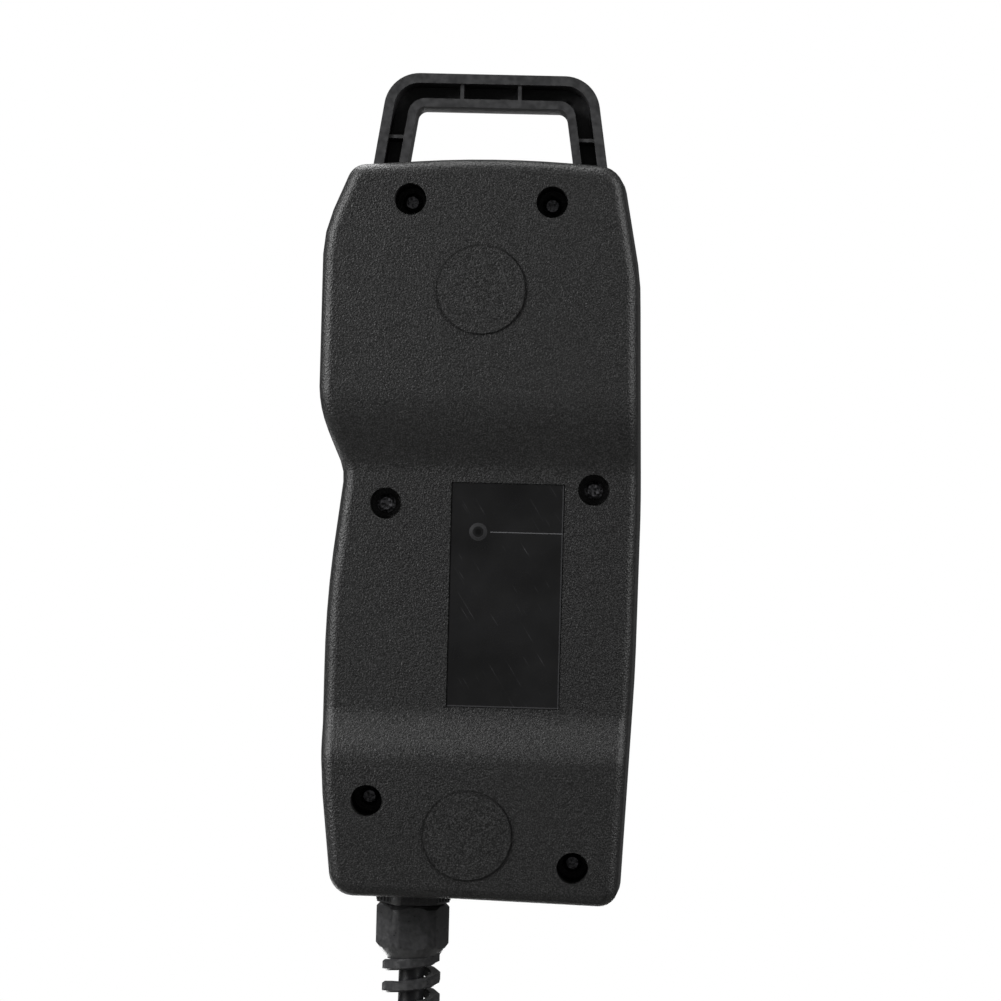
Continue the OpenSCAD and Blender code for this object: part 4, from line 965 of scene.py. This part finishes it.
# A hundred divisions filled with black ink, longer at each fifth and tenth
ink_black, tree, shader = new_material("engraving ink, black", "#101010", 0.5)
coords = millimetres(tree)
noise = grain(tree, shader, coords, 4.0, 0.004, 0.3)
shade_between(tree, shader, noise.outputs["Fac"], "#0c0c0c", "#171717")
ring_low, ring_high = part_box("dial_ring")
ring_outer = (ring_high.x - ring_low.x) / 2
ring_width, ring_rise = 0.0056, 0.0021
ring_slope = math.atan2(ring_rise, ring_width)
division_count = 100
division_degrees = 3.6


def on_ring(reach):
    """Depth of the dial ring's face at a distance from its axis."""
    return ring_low.y + (reach - (ring_outer - ring_width)) * ring_rise / ring_width


# The tree lays one bar of each length on the ring's slope, and picks one for each division
tick_tree = bpy.data.node_groups.new("dial_divisions", "GeometryNodeTree")
for name, kind in (
    ("Count", "NodeSocketInt"),
    ("Outer", "NodeSocketFloat"),
    ("Short", "NodeSocketFloat"),
    ("Middle", "NodeSocketFloat"),
    ("Long", "NodeSocketFloat"),
    ("Width", "NodeSocketFloat"),
    ("Ink", "NodeSocketMaterial"),
):
    tick_tree.interface.new_socket(name, in_out="INPUT", socket_type=kind)
tick_tree.interface.new_socket("Geometry", in_out="OUTPUT", socket_type="NodeSocketGeometry")
given = add(tick_tree, "NodeGroupInput")
ticks = []
for length in ("Short", "Middle", "Long"):
    size = add(
        tick_tree,
        "ShaderNodeCombineXYZ",
        {"X": given.outputs["Width"], "Y": ink_t, "Z": given.outputs[length]},
    )
    cube = add(tick_tree, "GeometryNodeMeshCube", {"Size": size.outputs[0]})
    half = add(
        tick_tree, "ShaderNodeMath", {0: given.outputs[length], 1: -0.5}, operation="MULTIPLY"
    )
    shift = add(tick_tree, "ShaderNodeCombineXYZ", {"Z": half.outputs[0]})
    outward = add(tick_tree, "ShaderNodeCombineXYZ", {"Z": given.outputs["Outer"]})
    laid = add(
        tick_tree,
        "GeometryNodeTransform",
        {"Geometry": cube.outputs[0], "Translation": shift.outputs[0]},
    )
    tilted = add(
        tick_tree,
        "GeometryNodeTransform",
        {
            "Geometry": laid.outputs[0],
            "Translation": outward.outputs[0],
            "Rotation": (-ring_slope, 0.0, 0.0),
        },
    )
    ticks.append(tilted.outputs[0])
kinds = add(tick_tree, "GeometryNodeGeometryToInstance")
for tick in reversed(ticks):
    tick_tree.links.new(tick, kinds.inputs[0])
points = add(tick_tree, "GeometryNodePoints", {"Count": given.outputs["Count"]})
index = add(tick_tree, "GeometryNodeInputIndex")
fifth = add(tick_tree, "ShaderNodeMath", {0: index.outputs[0], 1: 5.0}, operation="MODULO")
tenth = add(tick_tree, "ShaderNodeMath", {0: index.outputs[0], 1: 10.0}, operation="MODULO")
is_fifth = add(tick_tree, "ShaderNodeMath", {0: fifth.outputs[0], 1: 0.5}, operation="LESS_THAN")
is_tenth = add(tick_tree, "ShaderNodeMath", {0: tenth.outputs[0], 1: 0.5}, operation="LESS_THAN")
which = add(
    tick_tree,
    "ShaderNodeMath",
    {0: is_fifth.outputs[0], 1: is_tenth.outputs[0]},
    operation="ADD",
)
angle = add(
    tick_tree,
    "ShaderNodeMath",
    {0: index.outputs[0], 1: math.radians(division_degrees)},
    operation="MULTIPLY",
)
spin = add(tick_tree, "ShaderNodeCombineXYZ", {"Y": angle.outputs[0]})
placed = add(
    tick_tree,
    "GeometryNodeInstanceOnPoints",
    {
        "Points": points.outputs[0],
        "Instance": kinds.outputs[0],
        "Pick Instance": True,
        "Instance Index": which.outputs[0],
        "Rotation": spin.outputs[0],
    },
)
real = add(tick_tree, "GeometryNodeRealizeInstances", {"Geometry": placed.outputs[0]})
inked = add(
    tick_tree,
    "GeometryNodeSetMaterial",
    {"Geometry": real.outputs[0], "Material": given.outputs["Ink"]},
)
add(tick_tree, "NodeGroupOutput", {"Geometry": inked.outputs[0]})


def grown(name, node_tree, values, place):
    """Runs a Geometry Nodes tree with its inputs by name, as a plain mesh at a place."""
    made = bpy.data.objects.new(name, bpy.data.meshes.new(name))
    scene.collection.objects.link(made)
    growth = made.modifiers.new(name, "NODES")
    growth.node_group = node_tree
    for item in node_tree.interface.items_tree:
        if item.in_out == "INPUT" and item.name in values:
            growth[item.identifier] = values[item.name]
    plain = bpy.data.meshes.new_from_object(
        made.evaluated_get(bpy.context.evaluated_depsgraph_get())
    )
    made.modifiers.clear()
    made.data = plain
    plain.name = name
    plain.transform(place)
    return made


tick_reach = ring_outer - 0.0004
divisions = grown(
    "dial_divisions",
    tick_tree,
    {
        "Count": division_count,
        "Outer": tick_reach,
        "Short": 0.0014,
        "Middle": 0.0020,
        "Long": 0.0026,
        "Width": 0.00022,
        "Ink": ink_black,
    },
    Matrix.Translation((wheel_x, on_ring(tick_reach) - ink_t / 2, wheel_z)),
)
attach(divisions, "wheel")

# A number at each tenth division, further in and leaning with the ring's slope
number_height = 0.0015
number_reach = ring_outer - 0.0041
wheel_axis = Matrix.Translation((wheel_x, 0.0, wheel_z))
lean_back = Matrix.Rotation(-ring_slope, 4, "X")
on_slope = Matrix.Translation((0.0, on_ring(number_reach) - ink_t / 2, number_reach))
parts = []
for k in range(10):
    turned_by = Matrix.Rotation(math.radians(10 * division_degrees * k), 4, "Y")
    place = wheel_axis @ turned_by @ on_slope @ lean_back
    parts.append((lettering(str(10 * k), number_height), place))
gathered("dial_numbers", parts, ink_black, "wheel")

# Phenolic of the crank knob: moulded and polished, a deep black gloss with a slow ripple
phenolic, tree, shader = new_material("phenolic, moulded and polished", "#121214", 0.16, ior=1.6)
coords = millimetres(tree)
grain(tree, shader, coords, 0.3, 0.02, 0.2)
dress(phenolic, "crank_knob", "crank_cap")

# ------------------------------------------------------------------ selectors
# The knobs of the two rotary switches: satin black nylon, moulded with flutes for the fingers
# and pressed on the switches' shafts. A white line is inlaid in the top of each, to point at
# the word it is set to.
knob_nylon, tree, shader = new_material("nylon, satin", "#18181a", 0.45, ior=1.53)
coords = millimetres(tree)
noise = grain(tree, shader, coords, 1.5, 0.02, 0.5)
shade_between(tree, shader, noise.outputs["Fac"], "#141416", "#202023")
dress(knob_nylon, "axis_knob", "multiplier_knob")
inlay_width, inlay_length = 0.0010, 0.0062
inlay_share = 0.55
for (knob_low, knob_high), body, slot in (
    ((axis_low, axis_high), "axis_selector", "axis_knob"),
    ((step_low, step_high), "multiplier_selector", "multiplier_knob"),
):
    x, z = (knob_low.x + knob_high.x) / 2, (knob_low.z + knob_high.z) / 2
    inlay_place = Matrix.Translation((x, knob_low.y - ink_t / 2, z + knob_r * inlay_share))
    inlay = bar(inlay_width, ink_t, inlay_length)
    gathered(slot + "_pointer", [(inlay, inlay_place)], ink_white, body)

# ------------------------------------------------------------------ stop button
# Mushroom stop button: a red ABS head, moulded and polished, on a black stem, over a yellow
# collar that a nut behind the panel draws down on a black gasket. Three white arrows on the
# head show which way it is twisted to let go.
red, tree, shader = new_material("ABS, red polished", "#a81c1a", 0.24)
coords = millimetres(tree)
noise = grain(tree, shader, coords, 0.4, 0.03, 0.25)
shade_between(tree, shader, noise.outputs["Fac"], "#9c1816", "#b5211e")
dress(red, "stop_head")
head_low, head_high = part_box("stop_head")
head_x, head_z = (head_low.x + head_high.x) / 2, (head_low.z + head_high.z) / 2
arrow_reach, arrow_width = 0.0048, 0.0011
arrow_start, arrow_sweep = -35, 62
arrow_t = 0.0001
arrow_sink = 0.00014


def curved_arrow(reach, width, start, sweep):
    """A flat arrow along an arc, clockwise from the top, lying in XZ with a small thickness."""
    work = bmesh.new()
    outline = []
    count = 14
    barb = width * 1.3
    tip = width * 2.2 / reach
    for side in (1, -1):
        order = range(count + 1) if side == 1 else range(count, -1, -1)
        for k in order:
            a = math.radians(start + sweep * k / count)
            r = reach + side * width / 2
            outline.append((r * math.sin(a), r * math.cos(a)))
        if side == 1:
            for r, extra in ((reach + barb, 0), (reach, tip), (reach - barb, 0)):
                a = math.radians(start + sweep) + extra
                outline.append((r * math.sin(a), r * math.cos(a)))
    foot = [work.verts.new((x, 0.0, z)) for x, z in outline]
    top = [work.verts.new((x, -arrow_t, z)) for x, z in outline]
    work.faces.new(foot)
    work.faces.new(top[::-1])
    for k in range(len(outline)):
        after = (k + 1) % len(outline)
        work.faces.new((foot[k], top[k], top[after], foot[after]))
    bmesh.ops.recalc_face_normals(work, faces=work.faces)
    mesh = bpy.data.meshes.new("curved_arrow")
    work.to_mesh(mesh)
    work.free()
    return mesh


arrow_place = Matrix.Translation((head_x, head_low.y + arrow_sink, head_z))
arrows = [
    (curved_arrow(arrow_reach, arrow_width, 120 * k + arrow_start, arrow_sweep), arrow_place)
    for k in range(3)
]
gathered("twist_arrows", arrows, ink_white, "stop_mushroom")

# Yellow ABS of the collar: plain and satin, so that the glossy head stands out from it
yellow, tree, shader = new_material("ABS, yellow satin", "#e0b31a", 0.4)
coords = millimetres(tree)
noise = grain(tree, shader, coords, 1.2, 0.02, 0.3)
shade_between(tree, shader, noise.outputs["Fac"], "#d6a916", "#e6bb24")
dress(yellow, "stop_collar")

# ------------------------------------------------------------------ lamp
# Power lamp: a green acrylic lens, moulded and unlit, held in the panel by a turned brass bush
# that is chrome-plated. The chrome is a bright ring with a slight ripple.
chrome, tree, shader = new_material("brass, chrome-plated", "#c9cbce", 0.12, metallic=1.0)
coords = millimetres(tree)
grain(tree, shader, coords, 0.8, 0.01, 0.2)
dress(chrome, "lamp_holder")

# Green acrylic of the lens: smooth and glossy, the one green spot on the panel
lens_green, tree, shader = new_material("acrylic, green tinted", "#2f9a45", 0.15, ior=1.49)
coords = millimetres(tree)
grain(tree, shader, coords, 1.0, 0.01, 0.2)
dress(lens_green, "lamp")

# ------------------------------------------------------------------ size
# The box round the dressed part
low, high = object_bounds()
